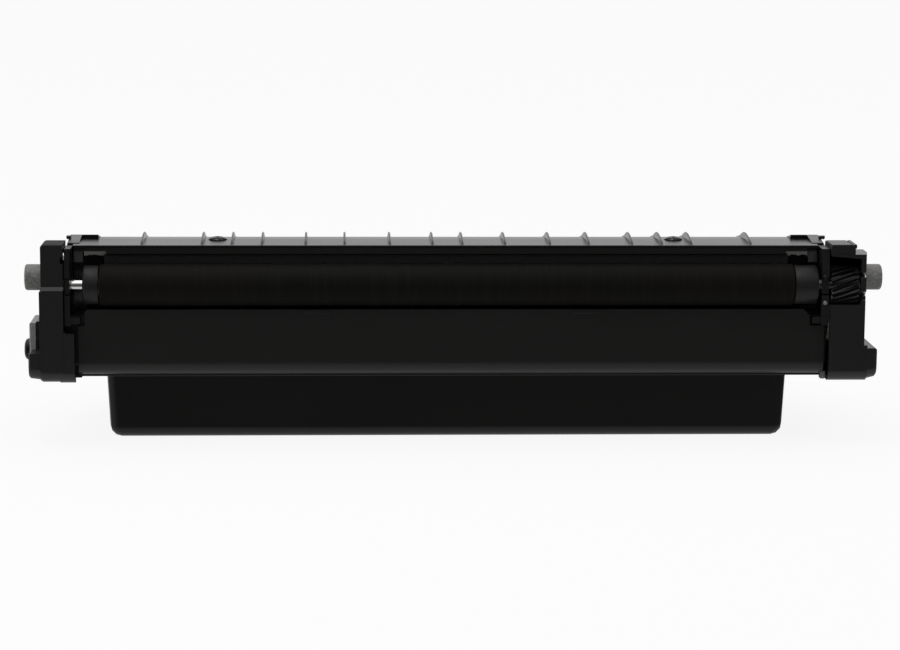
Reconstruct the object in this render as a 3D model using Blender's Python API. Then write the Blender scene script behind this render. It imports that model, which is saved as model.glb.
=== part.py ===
"""Toner cartridge of the developer type, for a printer that takes A4 sheets.

A long moulded frame carries a toner hopper below and a roller trough in front. The lid over it has
paper guide ribs, and the covers at both ends carry the locating pins. The developer roller turns in
the trough and drives the supply roller and the agitator through a gear train under the right cover.

Axes: +X to the gear side, +Y to the rear, +Z up. The origin is on the hopper's flat base, under the
middle of the sheet. Lengths are in metres.
"""

from math import acos, atan2, cos, hypot, pi, radians, sin, sqrt, tan

import bmesh
import bpy
from mathutils import Matrix, Vector

# General clearances and walls
SEAT_GAP = 0.0003  # between fixed pieces that touch
RUN_GAP = 0.0003  # radial, round a turning journal
EMBED = 0.0005  # how deep a rib, boss or post is rooted in its carrier
WALL = 0.0018  # trough
TUB_WALL = 0.0020
COVER_WALL = 0.0015

# Paper guide ribs, one side of the middle of the sheet
RIB_OFFSETS = (0.0050, 0.0193, 0.0344, 0.0474, 0.0620, 0.0720, 0.0820, 0.1020)
RIB_HEIGHT = 0.0022
RIB_BASE = 0.0013
RIB_TIP = 0.0007
RIB_START_SETBACK = 0.0020
RIB_END_SETBACK = 0.0120

# Developer roller
ROLLER_DIA = 0.0140
ROLLER_Y = -0.0390
ROLLER_Z = 0.0548
ROLLER_LEFT = -0.1156
ROLLER_RIGHT = 0.1156
COLLAR_STEP = 0.0008  # how much thinner the collars are
COLLAR_DIA = ROLLER_DIA - COLLAR_STEP
COLLAR_LEFT_END = -0.1214
COLLAR_RIGHT_END = 0.1242
COLLAR_RIM = 0.0006
CORE_DIA = 0.0080
JOURNAL_DIA = 0.0040
SHAFT_LEFT_PROUD = 0.0030

# Supply roller, behind and a little below the developer roller
SUPPLY_DIA = 0.0120
SUPPLY_DIP_DEG = 14.0
SUPPLY_SETBACK = 0.0022  # its foam is shorter than the developer roller at each end
SUPPLY_CORE_DIA = 0.0050
NIP_GAP = 0.0003

# Agitator
AGITATOR_SHAFT_DIA = 0.0060
AGITATOR_JOURNAL_DIA = 0.0046
AGITATOR_REACH = 0.0236
AGITATOR_BAR_RADIUS = 0.0120
AGITATOR_BAR_HEIGHT = 0.0030
AGITATOR_BAR_THICK = 0.0024
AGITATOR_ARM_COUNT = 5
AGITATOR_ARM_WIDTH = 0.0040
AGITATOR_END_CLEARANCE = 0.0060
FILM_THICK = 0.0004

# Hopper tub below the trough
HOPPER_LEFT = -0.1154
HOPPER_RIGHT = 0.1172
HOPPER_FRONT = -0.0250
HOPPER_BACK = 0.0400
HOPPER_DRAFT = 0.050  # inward slope of the end walls per metre of depth
HOPPER_EDGE_R = 0.0038
HOPPER_FRONT_R = 0.0040
HOPPER_BACK_R = 0.0260

# Trough, flange and end plates of the frame
TROUGH_FRONT = -0.0404
TROUGH_UNDER_ROLLER = 0.0029
TROUGH_TOP = ROLLER_Z - ROLLER_DIA / 2 - TROUGH_UNDER_ROLLER
TROUGH_FLOOR = 0.0270
TROUGH_CORNER_R = 0.0026
FLANGE_DEPTH = 0.0030
FLANGE_THICK = 0.0020
FLANGE_TOP = 0.0467
PLATE_LEFT_OUT = -0.1270
PLATE_LEFT_IN = -0.1249
PLATE_RIGHT_IN = 0.1247
PLATE_RIGHT_OUT = 0.1272
PLATE_NOSE = -0.0440
PLATE_NOSE_RISE = 0.0037
PLATE_NOSE_HIGH = ROLLER_Z + PLATE_NOSE_RISE
PLATE_TOP_FRONT = -0.0428

# Lid, its lip set above the roller
LIP_CLEARANCE = 0.0031
LIP_HEIGHT = 0.0029
LIP_LINE_DROP = 0.0006
LIP_LINE_WIDTH = 0.0009
LID_FRONT = -0.0370
LID_LIP_BOTTOM = ROLLER_Z + ROLLER_DIA / 2 + LIP_CLEARANCE
LID_LIP_THICK = 0.0014
LID_FRONT_Z = LID_LIP_BOTTOM + LIP_HEIGHT
LID_GROOVE_TOP = LID_FRONT_Z - LIP_LINE_DROP
LID_GROOVE_BOTTOM = LID_GROOVE_TOP - LIP_LINE_WIDTH
LID_GROOVE_DEPTH = 0.0004
LID_THICK = 0.0020
LID_CREST_Y = -0.0230
LID_CREST_RISE = 0.0002
LID_CREST_Z = LID_FRONT_Z + LID_CREST_RISE
LID_DROP = LID_CREST_Z - FLANGE_TOP - SEAT_GAP - LID_THICK  # from the crest to the rear flange
PLATE_UNDER_LID = 0.0004
PLATE_TOP = LID_FRONT_Z - PLATE_UNDER_LID
LID_SIDE_FRONT = -0.0330  # in front of this line the lid drops between the end plates
LID_OVERHANG = 0.0002
LID_STEPS = 4
PAD_HEIGHT = 0.0014
PAD_FRONT = -0.0215
PAD_BACK = -0.0120
PAD_WIDTH = 0.0055
PAD_RAMP_WIDTH = 0.0040
CHEEK_WIDTH = 0.0034
CHEEK_DROP = 0.0027
CHEEK_BOTTOM = LID_LIP_BOTTOM - CHEEK_DROP
CHEEK_BACK = -0.0356
GRIP_WIDTH = 0.0900
GRIP_DEPTH = 0.0050
GRIP_RIB_COUNT = 7
GRIP_RIB_WIDTH = 0.0014

# Lid screws
LID_SCREW_X = 0.0771
LID_SCREW_Y = -0.0240
SCREW_HEAD_DIA = 0.0060
SCREW_HEAD_HIGH = 0.0016
SCREW_SHANK_DIA = 0.0026
SCREW_RECESS = 0.0009
HOLE_PLAY = 0.0004
DOME_SKIRT = 0.5  # share of a screw head's height that is upright
DOME_FLAT = 0.6  # share of its diameter that is flat on top

# Front panel
PANEL_FACE = -0.0420
PANEL_UNDER_ROLLER = 0.0008
PANEL_TOP = ROLLER_Z - ROLLER_DIA / 2 - PANEL_UNDER_ROLLER
PANEL_BOTTOM = 0.0248
PANEL_THICK = 0.0013
PANEL_CURVE_R = 0.0042
PANEL_RETURN = 0.0048
PANEL_LEFT = -0.1229
PANEL_RIGHT = 0.1264
PANEL_NOTCH_LEFT = -0.1207
PANEL_NOTCH_RIGHT = 0.1214
PANEL_NOTCH_Z = 0.0415
PANEL_CHAMFER = 0.0022
PANEL_CORNER_R = 0.0015
TAB_CENTRES = (-0.0438, 0.0458)
TAB_WIDTH = 0.0091
TAB_HEIGHT = 0.0015
TAB_PROUD = 0.0004
END_HOOK_WIDTH = 0.0029
END_HOOK_LOW = 0.0424
END_HOOK_HIGH = 0.0446
END_HOOK_DEPTH = 0.0050

# Bearing blocks in the end plates' front slots
BEARING_HEIGHT = 0.0052
BEARING_BACK = 0.0036
BEARING_FRONT_SETBACK = 0.0008
BEARING_FLANGE = 0.0008
BEARING_FLANGE_THICK = 0.0007

# Doctor blade and its bracket
BRACKET_LEFT = -0.1210
BRACKET_RIGHT = 0.1222
BRACKET_FRONT = -0.0353
BRACKET_UNDER_LIP = 0.0020
BRACKET_BOTTOM = LID_LIP_BOTTOM - BRACKET_UNDER_LIP
BRACKET_HEIGHT = 0.0027
BRACKET_THICK = 0.0012
BRACKET_BACK = -0.0210
BLADE_THICK = 0.0003
BLADE_Y = -0.0336
BLADE_BACK = -0.0265
BLADE_END_SETBACK = 0.0012
BLADE_SCREW_X = 0.1183
BLADE_SCREW_Y = -0.0285
BLADE_SCREW_HEAD_DIA = 0.0050
BLADE_SCREW_HEAD_HIGH = 0.0011
LEDGE_LENGTH = 0.0095
LEDGE_FRONT = -0.0318
LEDGE_BACK = -0.0245
LEDGE_HEIGHT = 0.0036
BLADE_FOAM_THICK = 0.0008
BLADE_FOAM_HEIGHT = 0.0027
BLADE_FOAM_END = 0.1143

# Seals
END_SEAL_THICK = 0.0017
END_SEAL_FROM_DEG = -80.0
END_SEAL_TO_DEG = 24.0
END_SEAL_LENGTH = 0.0076
SADDLE_THICK = 0.0014
SADDLE_FROM_DEG = -86.0
SADDLE_TO_DEG = 28.0
FILM_SEAL_THICK = 0.0003
FILM_SEAL_RISE_DEG = 32.0
FILM_SEAL_LENGTH = 0.0048

# Gears under the right cover
MODULE = 0.000675
PRESSURE_DEG = 20.0
HELIX_DEG = 21.0
ADDENDUM = 0.00063
DEDENDUM = 0.00078
BACKLASH = 0.00018
CENTRE_PLAY = 0.00006
DEVELOPER_TEETH = 18
IDLER_TEETH = 20
SUPPLY_TEETH = 16
REDUCTION_TEETH = 38
PINION_TEETH = 14
AGITATOR_TEETH = 30
REDUCTION_DIRECTION_DEG = -17.5  # from the idler, counted from +Y towards +Z
AGITATOR_DIRECTION_DEG = -11.0  # from the reduction gear
SPUR_MODULE = 0.0008
GEAR_START = 0.1279
DEVELOPER_GEAR_WIDTH = 0.0092
IDLER_GEAR_WIDTH = 0.0092
NARROW_GEAR_WIDTH = 0.0040
GEAR_ROW_GAP = 0.0006
POST_DIA = 0.0040

# Right cover
COVER_FRONT = -0.0450
RIGHT_SIDE_OUT = 0.14045
RIGHT_SIDE_IN = 0.1387
RIGHT_FRONT_OUT = 0.1392
RIGHT_FRONT_SLANT = 0.0060  # depth over which the side widens from its front edge
RIGHT_COVER_TOP = 0.0658
RIGHT_BAR_TOP = 0.0687
RIGHT_BAR_RIGHT = 0.1356
RIGHT_BAR_BACK = -0.0320
RIGHT_BAR_BOTTOM = 0.0655
WINDOW_BOTTOM = 0.0488
WINDOW_TOP = 0.0653
WINDOW_FALL = 0.0010  # how much lower its top is at the right
WINDOW_SIDE = 0.1375
WINDOW_BACK = -0.0330
COVER_BOTTOM = 0.0227
RIGHT_FOOT_OUT = 0.1439
RIGHT_FOOT_TOP = 0.0341
RIGHT_FOOT_BACK = -0.0230
RIGHT_FOOT_RISE = 0.0009
RIGHT_COVER_BACK = 0.0215
RIGHT_COVER_HEADROOM = 0.0030  # over the agitator gear
RIGHT_COVER_SHOULDER = 0.0100  # behind the supply axis
COVER_EDGE_R = 0.0012
COVER_TOE_R = 0.0040  # lower front edge of both covers
BUSH_DIA = 0.0074
BUSH_LEFT = 0.1377
BUSH_RIGHT = 0.1400

# Left cover
LEFT_POST_OUT = -0.1346
LEFT_POST_IN = -0.1273
LEFT_COVER_TOP = 0.0690
LEFT_TOP_EDGE = 0.0003
LEFT_TOP_CORNER_R = 0.0010
LEFT_POST_BACK = -0.0330
LEFT_SHOULDER_TOP = 0.0612
LEFT_SHOULDER_IN = -0.1282
LEFT_STEP_OUT = -0.1352
LEFT_LEDGE_Z = 0.0542
LEFT_LEDGE_PROUD = 0.0008
LEFT_INNER_REACH = -0.1238
LEFT_REACH_DROP = 0.0003
LEFT_INNER_TOP = 0.0393
LEFT_FOOT_OUT = -0.1391
LEFT_FOOT_TOP = 0.0328
LEFT_FOOT_RISE = 0.0005
LEFT_FOOT_BACK = -0.0370
LEFT_COVER_BACK = 0.0120
LEFT_COVER_FALL = 0.0140  # how much lower its back is than its shoulder
LEFT_BACK_R = 0.0040
SLIT_LOW = 0.0626
SLIT_HIGH = 0.0649
SLIT_DEPTH = 0.0009
CONTACT_PAD_OUT = -0.1372
CONTACT_OUT = -0.1397
CONTACT_PAD_RIM = 0.0006
CONTACT_LOW = 0.0265
CONTACT_HIGH = 0.0414
CONTACT_FRONT = -0.0350
CONTACT_BACK = -0.0180
CONTACT_SCREW_Y = -0.0290
CONTACT_SCREW_Z = 0.0316
CONTACT_SCREW_DIA = 0.0072
CONTACT_SCREW_HIGH = 0.0019

# Locating pins
PIN_DIA = 0.0088
PIN_Y = -0.0230
PIN_Z = 0.0551
PIN_LEFT_END = -0.1420
PIN_RIGHT_END = 0.1485
PIN_RIM = 0.0005
PIN_SPIGOT_DIA = 0.0050

# Toner filling plug in the left end plate
PLUG_Y = 0.0240
PLUG_Z = 0.0370
PLUG_DIA = 0.0150
PLUG_FLANGE_DIA = 0.0180
PLUG_FLANGE_THICK = 0.0012

# Cover screws, (Y, Z) on each end plate
LEFT_COVER_SCREW = (0.0040, 0.0400)
RIGHT_COVER_SCREWS = ((-0.0120, 0.0534), (0.0170, 0.0446))
COVER_SCREW_HEAD_DIA = 0.0055
COVER_SCREW_HEAD_HIGH = 0.0014
COVER_SCREW_BOSS_DIA = 0.0058
COVER_SCREW_BITE = 0.0050

# Facets
FINE = 32
ROUND = 24
MEDIUM = 18
COARSE = 14
SMALL = 10


def lid_top_z(y):
    """Height of the lid's upper surface at depth y."""
    if y < LID_CREST_Y:
        share = (y - LID_FRONT) / (LID_CREST_Y - LID_FRONT)
        return LID_FRONT_Z + share * (LID_CREST_Z - LID_FRONT_Z)
    share = (y - LID_CREST_Y) / (HOPPER_BACK - WALL - LID_CREST_Y)
    return LID_CREST_Z - LID_DROP * share * share


def spread(start, end, count):
    """Evenly spaced values from start to end, both included."""
    return [start + (end - start) * i / (count - 1) for i in range(count)]


def arc(centre, radius, from_deg, to_deg, steps):
    """Points of an arc, the angle counted from the first axis towards the second."""
    return [
        (centre[0] + radius * cos(radians(a)), centre[1] + radius * sin(radians(a)))
        for a in spread(from_deg, to_deg, steps + 1)
    ]


def material(name, colour, roughness, metallic=0.0):
    """A surface with one colour, one roughness and one metallic value."""
    made = bpy.data.materials.new(name)
    made.use_nodes = True
    shader = made.node_tree.nodes["Principled BSDF"]
    shader.inputs["Base Color"].default_value = (*colour, 1.0)
    shader.inputs["Roughness"].default_value = roughness
    shader.inputs["Metallic"].default_value = metallic
    made.diffuse_color = (*colour, 1.0)
    return made


def extruded(outline, axis, start, end):
    """A solid with a flat outline, extruded along one axis.

    The outline's two values are the other two axes in X, Y, Z order.
    """
    bm = bmesh.new()
    index = "xyz".index(axis)

    def place(a, b, along):
        values = [a, b]
        values.insert(index, along)
        return Vector(values)

    loop = [bm.verts.new(place(a, b, start)) for a, b in outline]
    face = bm.faces.new(loop)
    moved = bmesh.ops.extrude_face_region(bm, geom=[face])
    shift = Vector([0.0, 0.0, 0.0])
    shift[index] = end - start
    verts = [v for v in moved["geom"] if isinstance(v, bmesh.types.BMVert)]
    bmesh.ops.translate(bm, vec=shift, verts=verts)
    bmesh.ops.recalc_face_normals(bm, faces=bm.faces[:])
    return bm


def block(x0, x1, y0, y1, z0, z1):
    """A box between two corners."""
    return extruded([(y0, z0), (y1, z0), (y1, z1), (y0, z1)], "x", x0, x1)


def turned(profile, segments):
    """A solid of revolution about the X axis from a closed (x, radius) profile."""
    bm = bmesh.new()
    verts = [bm.verts.new((x, 0.0, radius)) for x, radius in profile]
    edges = [bm.edges.new((a, b)) for a, b in zip(verts, verts[1:] + verts[:1])]
    on_axis = [e for e in edges if all(abs(v.co.z) < 1e-9 for v in e.verts)]
    for edge in on_axis:
        bm.edges.remove(edge)
        edges.remove(edge)
    bmesh.ops.spin(
        bm,
        geom=verts + edges,
        cent=(0, 0, 0),
        axis=(1, 0, 0),
        angle=2 * pi,
        steps=segments,
        use_merge=True,
    )
    bmesh.ops.remove_doubles(bm, verts=bm.verts[:], dist=1e-6)
    bmesh.ops.recalc_face_normals(bm, faces=bm.faces[:])
    return bm


def rod(x0, x1, dia, segments=COARSE):
    """A plain cylinder along X."""
    return turned([(x0, 0.0), (x0, dia / 2), (x1, dia / 2), (x1, 0.0)], segments)


def moved(bm, offset):
    """The same shape, shifted."""
    bmesh.ops.translate(bm, vec=Vector(offset), verts=bm.verts[:])
    return bm


def upright(bm):
    """The same shape with its X axis stood up along Z."""
    bmesh.ops.rotate(bm, cent=(0, 0, 0), matrix=Matrix.Rotation(-pi / 2, 3, "Y"), verts=bm.verts[:])
    return bm


def together(*shapes):
    """Several separate shapes in one mesh."""
    bm = bmesh.new()
    for shape in shapes:
        mesh = bpy.data.meshes.new("shape")
        shape.to_mesh(mesh)
        bm.from_mesh(mesh)
        bpy.data.meshes.remove(mesh)
        shape.free()
    return bm


def rounded(bm, chosen, radius, segments=3):
    """Rounds the edges that the test picks, given each edge's two ends."""
    edges = [e for e in bm.edges if chosen(e.verts[0].co, e.verts[1].co)]
    bmesh.ops.bevel(
        bm,
        geom=edges,
        offset=radius,
        offset_type="OFFSET",
        segments=segments,
        profile=0.5,
        affect="EDGES",
        material=-1,
    )
    bmesh.ops.recalc_face_normals(bm, faces=bm.faces[:])
    return bm


def piece(name, bm, mat, at=(0.0, 0.0, 0.0), parent=None, smooth_deg=35.0):
    """One named object from a shape."""
    mesh = bpy.data.meshes.new(name)
    bm.to_mesh(mesh)
    bm.free()
    mesh.materials.append(mat)
    mesh.shade_smooth()
    mesh.set_sharp_from_angle(angle=radians(smooth_deg))
    made = bpy.data.objects.new(name, mesh)
    made.location = at
    made.parent = parent
    bpy.context.scene.collection.objects.link(made)
    return made


def operand(name, bm, parent):
    """A hidden object that shapes another one."""
    mesh = bpy.data.meshes.new(name)
    bm.to_mesh(mesh)
    bm.free()
    made = bpy.data.objects.new(name, mesh)
    made.hide_render = True
    made.display_type = "WIRE"
    made.parent = parent
    bpy.context.scene.collection.objects.link(made)
    return made


def shape_with(target, kind, name, bm):
    """Joins a shape to an object, or cuts it away; both share one parent."""
    other = operand(f"{target.name}_{name}", bm, target.parent)
    modifier = target.modifiers.new(name, "BOOLEAN")
    modifier.operation = kind
    modifier.solver = "EXACT"
    modifier.object = other


def joined(target, name, bm):
    """Joins a shape to an object."""
    shape_with(target, "UNION", name, bm)


def cut(target, name, bm):
    """Cuts a shape out of an object."""
    shape_with(target, "DIFFERENCE", name, bm)


def pivot(name, y, z):
    """An empty on a turning axis that runs along X."""
    made = bpy.data.objects.new(name, None)
    made.empty_display_size = 0.01
    made.location = (0.0, y, z)
    bpy.context.scene.collection.objects.link(made)
    return made


# Gear geometry: angles are counted from +Y towards +Z, right-handed about +X


def involute(angle):
    """The involute function of a pressure angle."""
    return tan(angle) - angle


def tooth_half_angle(teeth, module, radius):
    """Half the angle that a tooth spans at a radius."""
    pitch = teeth * module / 2
    pressure = radians(PRESSURE_DEG)
    base = pitch * cos(pressure)
    local = acos(base / max(radius, base))
    return pi / (2 * teeth) - BACKLASH / (2 * pitch) + involute(pressure) - involute(local)


def gear_outline(teeth, module, fine):
    """(radius, angle) points round a gear whose first tooth points to angle 0."""
    pitch = teeth * module / 2
    scale = module / MODULE
    tip = pitch + ADDENDUM * scale
    root = pitch - DEDENDUM * scale
    radii = [root, pitch, tip] if fine else [root, tip]
    points = []
    for i in range(teeth):
        centre = 2 * pi * i / teeth
        halves = [tooth_half_angle(teeth, module, r) for r in radii]
        points += [(r, centre - h) for r, h in zip(radii, halves)]
        points += [(r, centre + h) for r, h in reversed(list(zip(radii, halves)))]
    return points


def gear_ring(bm, teeth, module, x, turn, fine=False):
    """The vertices of a gear's outline at x, its first tooth turned by an angle."""
    outline = gear_outline(teeth, module, fine)
    return [bm.verts.new((x, r * cos(a + turn), r * sin(a + turn))) for r, a in outline]


def bore_ring(bm, bore, x, segments):
    """The vertices of a round hole's edge at x."""
    return [bm.verts.new((x, y, z)) for y, z in arc((0.0, 0.0), bore / 2, 0, 360, segments)[:-1]]


def looped(ring):
    """Each vertex of a closed ring with the next one."""
    return zip(ring, ring[1:] + ring[:1])


def walled(bm, ring_a, ring_b):
    """Faces between two rings with the same number of vertices."""
    for one, two in zip(looped(ring_a), looped(ring_b)):
        bm.faces.new((one[0], one[1], two[1], two[0]))


def capped(bm, outer, inner):
    """A flat end face between an outer and an inner ring."""
    rims = [bm.edges.get(pair) for ring in (outer, inner) for pair in looped(ring)]
    bmesh.ops.triangle_fill(bm, edges=rims, use_beauty=False, normal=(1, 0, 0))


def gear_solid(teeth, module, bore, width, phase, twist, slices, fine=False, segments=COARSE):
    """A gear along X from GEAR_START: phase is its first tooth's angle there, twist its turn per metre."""
    bm = bmesh.new()
    end = GEAR_START + width
    rings = [
        gear_ring(bm, teeth, module, x, phase + twist * (x - GEAR_START), fine)
        for x in spread(GEAR_START, end, slices + 1)
    ]
    for ring_a, ring_b in zip(rings, rings[1:]):
        walled(bm, ring_a, ring_b)
    holes = [bore_ring(bm, bore, x, segments) for x in (GEAR_START, end)]
    walled(bm, *holes)
    capped(bm, rings[0], holes[0])
    capped(bm, rings[-1], holes[1])
    bmesh.ops.recalc_face_normals(bm, faces=bm.faces[:])
    return bm


def reduction_solid(bore, phase):
    """The reduction gear: a spur pinion from GEAR_START and a wide helical wheel behind it."""
    bm = bmesh.new()
    wheel_start = GEAR_START + NARROW_GEAR_WIDTH + GEAR_ROW_GAP
    wheel_end = wheel_start + NARROW_GEAR_WIDTH
    twist = twist_of(REDUCTION_TEETH, -1)
    pinion = [gear_ring(bm, PINION_TEETH, SPUR_MODULE, x, 0.0) for x in (GEAR_START, wheel_start)]
    wheel = [
        gear_ring(bm, REDUCTION_TEETH, MODULE, x, phase + twist * (x - GEAR_START))
        for x in (wheel_start, wheel_end)
    ]
    holes = [bore_ring(bm, bore, x, COARSE) for x in (GEAR_START, wheel_end)]
    for rings in (pinion, wheel, holes):
        walled(bm, *rings)
    capped(bm, pinion[0], holes[0])
    capped(bm, wheel[0], pinion[1])
    capped(bm, wheel[1], holes[1])
    bmesh.ops.recalc_face_normals(bm, faces=bm.faces[:])
    return bm


def twist_of(teeth, hand):
    """How far a helical gear's teeth turn per metre of width."""
    return hand * tan(radians(HELIX_DEG)) / (teeth * MODULE / 2)


def centre_distance(teeth_a, teeth_b, module):
    """Distance between the axes of two meshed gears."""
    return module * (teeth_a + teeth_b) / 2 + CENTRE_PLAY


def third_corner(a, b, from_a, from_b):
    """The point at given distances from a and b, on the lower side of the line from a to b."""
    span = hypot(b[0] - a[0], b[1] - a[1])
    along = (from_a**2 - from_b**2 + span**2) / (2 * span)
    off = sqrt(from_a**2 - along**2)
    unit = ((b[0] - a[0]) / span, (b[1] - a[1]) / span)
    return (a[0] + unit[0] * along + unit[1] * off, a[1] + unit[1] * along - unit[0] * off)


def stepped(start, distance, degrees):
    """The point at a distance and direction from another."""
    return (start[0] + distance * cos(radians(degrees)), start[1] + distance * sin(radians(degrees)))


def meshed_phase(phase, teeth, own_centre, other_centre, other_teeth):
    """The phase of a gear that meshes with one whose phase is known."""
    line = atan2(other_centre[1] - own_centre[1], other_centre[0] - own_centre[0])
    gap = line + pi - teeth / other_teeth * (phase - line)
    return gap + pi / other_teeth


# Axes of the train, (Y, Z)
DEVELOPER = (ROLLER_Y, ROLLER_Z)
NIP = (ROLLER_DIA + SUPPLY_DIA) / 2 + NIP_GAP
SUPPLY = (
    ROLLER_Y + NIP * cos(radians(SUPPLY_DIP_DEG)),
    ROLLER_Z - NIP * sin(radians(SUPPLY_DIP_DEG)),
)
IDLER = third_corner(
    DEVELOPER,
    SUPPLY,
    centre_distance(DEVELOPER_TEETH, IDLER_TEETH, MODULE),
    centre_distance(SUPPLY_TEETH, IDLER_TEETH, MODULE),
)
REDUCTION = stepped(
    IDLER,
    centre_distance(IDLER_TEETH, REDUCTION_TEETH, MODULE),
    REDUCTION_DIRECTION_DEG,
)
AGITATOR = stepped(
    REDUCTION,
    centre_distance(PINION_TEETH, AGITATOR_TEETH, SPUR_MODULE),
    AGITATOR_DIRECTION_DEG,
)

PLASTIC = (0.0115, 0.0115, 0.0105)


def make_materials():
    """Every surface of the cartridge."""
    return {
        "frame": material("frame_plastic", PLASTIC, 0.42),
        "lid": material("lid_plastic", (0.0130, 0.0130, 0.0120), 0.28),
        "panel": material("panel_plastic", (0.0120, 0.0120, 0.0110), 0.45),
        "cover": material("cover_plastic", (0.0130, 0.0130, 0.0125), 0.48),
        "rubber": material("roller_rubber", (0.0080, 0.0070, 0.0062), 0.55),
        "collar": material("collar_plastic", (0.0260, 0.0260, 0.0270), 0.35),
        "steel": material("shaft_steel", (0.62, 0.62, 0.60), 0.18, 1.0),
        "gear": material("gear_plastic", (0.0090, 0.0090, 0.0090), 0.40),
        "white_gear": material("inner_gear_plastic", (0.70, 0.69, 0.64), 0.45),
        "foam": material("supply_foam", (0.045, 0.045, 0.048), 0.95),
        "bracket": material("bracket_steel", (0.50, 0.50, 0.48), 0.35, 1.0),
        "blade": material("blade_steel", (0.55, 0.52, 0.46), 0.30, 1.0),
        "seal": material("seal_felt", (0.020, 0.018, 0.016), 0.95),
        "film": material("seal_film", (0.016, 0.016, 0.018), 0.35),
        "agitator": material("agitator_plastic", (0.55, 0.55, 0.53), 0.50),
        "clear_film": material("agitator_film", (0.10, 0.10, 0.11), 0.30),
        "pin": material("pin_grey", (0.20, 0.20, 0.19), 0.60),
        "contact": material("contact_plate", (0.10, 0.098, 0.092), 0.45),
        "screw": material("screw_black", (0.012, 0.012, 0.012), 0.35, 0.4),
        "bright_screw": material("screw_steel", (0.45, 0.45, 0.44), 0.30, 1.0),
        "plug": material("plug_plastic", (0.020, 0.020, 0.020), 0.50),
    }


def hopper_outline(inset):
    """The tub's section in Y and Z, moved inwards by a wall."""
    front = HOPPER_FRONT + inset
    back = HOPPER_BACK - inset
    front_centre = (HOPPER_FRONT + HOPPER_FRONT_R, HOPPER_FRONT_R)
    back_centre = (HOPPER_BACK - HOPPER_BACK_R, HOPPER_BACK_R)
    top = TROUGH_FLOOR + (WALL / 2 if inset == 0.0 else WALL + EMBED)
    return [
        (front, top),
        *arc(front_centre, HOPPER_FRONT_R - inset, 180, 270, 4),
        *arc(back_centre, HOPPER_BACK_R - inset, 270, 360, 6),
        (back, top),
    ]


def hopper_block(inset):
    """The tub as one drafted solid with rounded ends, moved inwards by a wall."""
    bm = extruded(hopper_outline(inset), "x", HOPPER_LEFT + inset, HOPPER_RIGHT - inset)
    for vert in bm.verts:
        slope = HOPPER_DRAFT * (TROUGH_FLOOR - vert.co.z)
        vert.co.x += slope if vert.co.x < 0 else -slope

    def end_edge(a, b):
        same_end = abs(a.x - b.x) < HOPPER_EDGE_R
        below_top = min(a.z, b.z) < TROUGH_FLOOR
        return same_end and below_top

    return rounded(bm, end_edge, HOPPER_EDGE_R - inset, 3 if inset == 0.0 else 1)


def trough_outline():
    """The trough's open section: front wall, floor, rear wall and flange."""
    centre = (TROUGH_FRONT + TROUGH_CORNER_R, TROUGH_FLOOR + TROUGH_CORNER_R)
    inner_r = TROUGH_CORNER_R - WALL
    return [
        (TROUGH_FRONT, TROUGH_TOP),
        *arc(centre, TROUGH_CORNER_R, 180, 270, 3),
        (HOPPER_BACK, TROUGH_FLOOR),
        (HOPPER_BACK, FLANGE_TOP - FLANGE_THICK),
        (HOPPER_BACK + FLANGE_DEPTH, FLANGE_TOP - FLANGE_THICK),
        (HOPPER_BACK + FLANGE_DEPTH, FLANGE_TOP),
        (HOPPER_BACK - WALL, FLANGE_TOP),
        (HOPPER_BACK - WALL, TROUGH_FLOOR + WALL),
        *reversed(arc(centre, inner_r, 180, 270, 2)),
        (TROUGH_FRONT + WALL, TROUGH_TOP),
    ]


def plate_outline():
    """The end plates' outline in Y and Z, under the lid's curve."""
    curve = [
        (y, lid_top_z(y) - LID_THICK - SEAT_GAP)
        for y in spread(LID_SIDE_FRONT - SEAT_GAP, HOPPER_BACK - WALL, LID_STEPS)
    ]
    return [
        (TROUGH_FRONT, TROUGH_FLOOR + TROUGH_CORNER_R),
        (TROUGH_FRONT + TROUGH_CORNER_R, TROUGH_FLOOR),
        (HOPPER_BACK, TROUGH_FLOOR),
        (HOPPER_BACK, FLANGE_TOP - FLANGE_THICK),
        (HOPPER_BACK + FLANGE_DEPTH, FLANGE_TOP - FLANGE_THICK),
        (HOPPER_BACK + FLANGE_DEPTH, FLANGE_TOP),
        (HOPPER_BACK - WALL, FLANGE_TOP),
        *reversed(curve[:-1]),
        (LID_SIDE_FRONT - SEAT_GAP, PLATE_TOP),
        (PLATE_TOP_FRONT, PLATE_TOP),
        (PLATE_NOSE, PLATE_NOSE_HIGH),
        (PLATE_NOSE, PANEL_NOTCH_Z + SEAT_GAP),
        (TROUGH_FRONT, PANEL_NOTCH_Z + SEAT_GAP),
    ]


def gear_plate_outline():
    """The lower part of the right end plate, behind the gear cover."""
    outline = right_cover_outline(0.0)
    top = TROUGH_FLOOR + TROUGH_CORNER_R
    lower = [(y, z) for y, z in outline if z < top and y > TROUGH_FRONT]
    return [*lower, (RIGHT_COVER_BACK, AGITATOR[1]), (lower[0][0], AGITATOR[1])]


def saddle(x0, x1):
    """A half shell behind the roller's end that backs the end seal."""
    inner = ROLLER_DIA / 2 + 2 * SEAT_GAP + END_SEAL_THICK
    outline = [
        *arc(DEVELOPER, inner + SADDLE_THICK, SADDLE_FROM_DEG, SADDLE_TO_DEG, 7),
        *arc(DEVELOPER, inner, SADDLE_TO_DEG, SADDLE_FROM_DEG, 7),
    ]
    return extruded(outline, "x", x0, x1)


def end_blocks(inward, y0, y1, z0, z1):
    """Two boxes, one rooted in each end plate and reaching inwards."""
    return together(
        block(PLATE_LEFT_IN - EMBED, PLATE_LEFT_IN + inward, y0, y1, z0, z1),
        block(PLATE_RIGHT_IN - inward, PLATE_RIGHT_IN + EMBED, y0, y1, z0, z1),
    )


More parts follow.
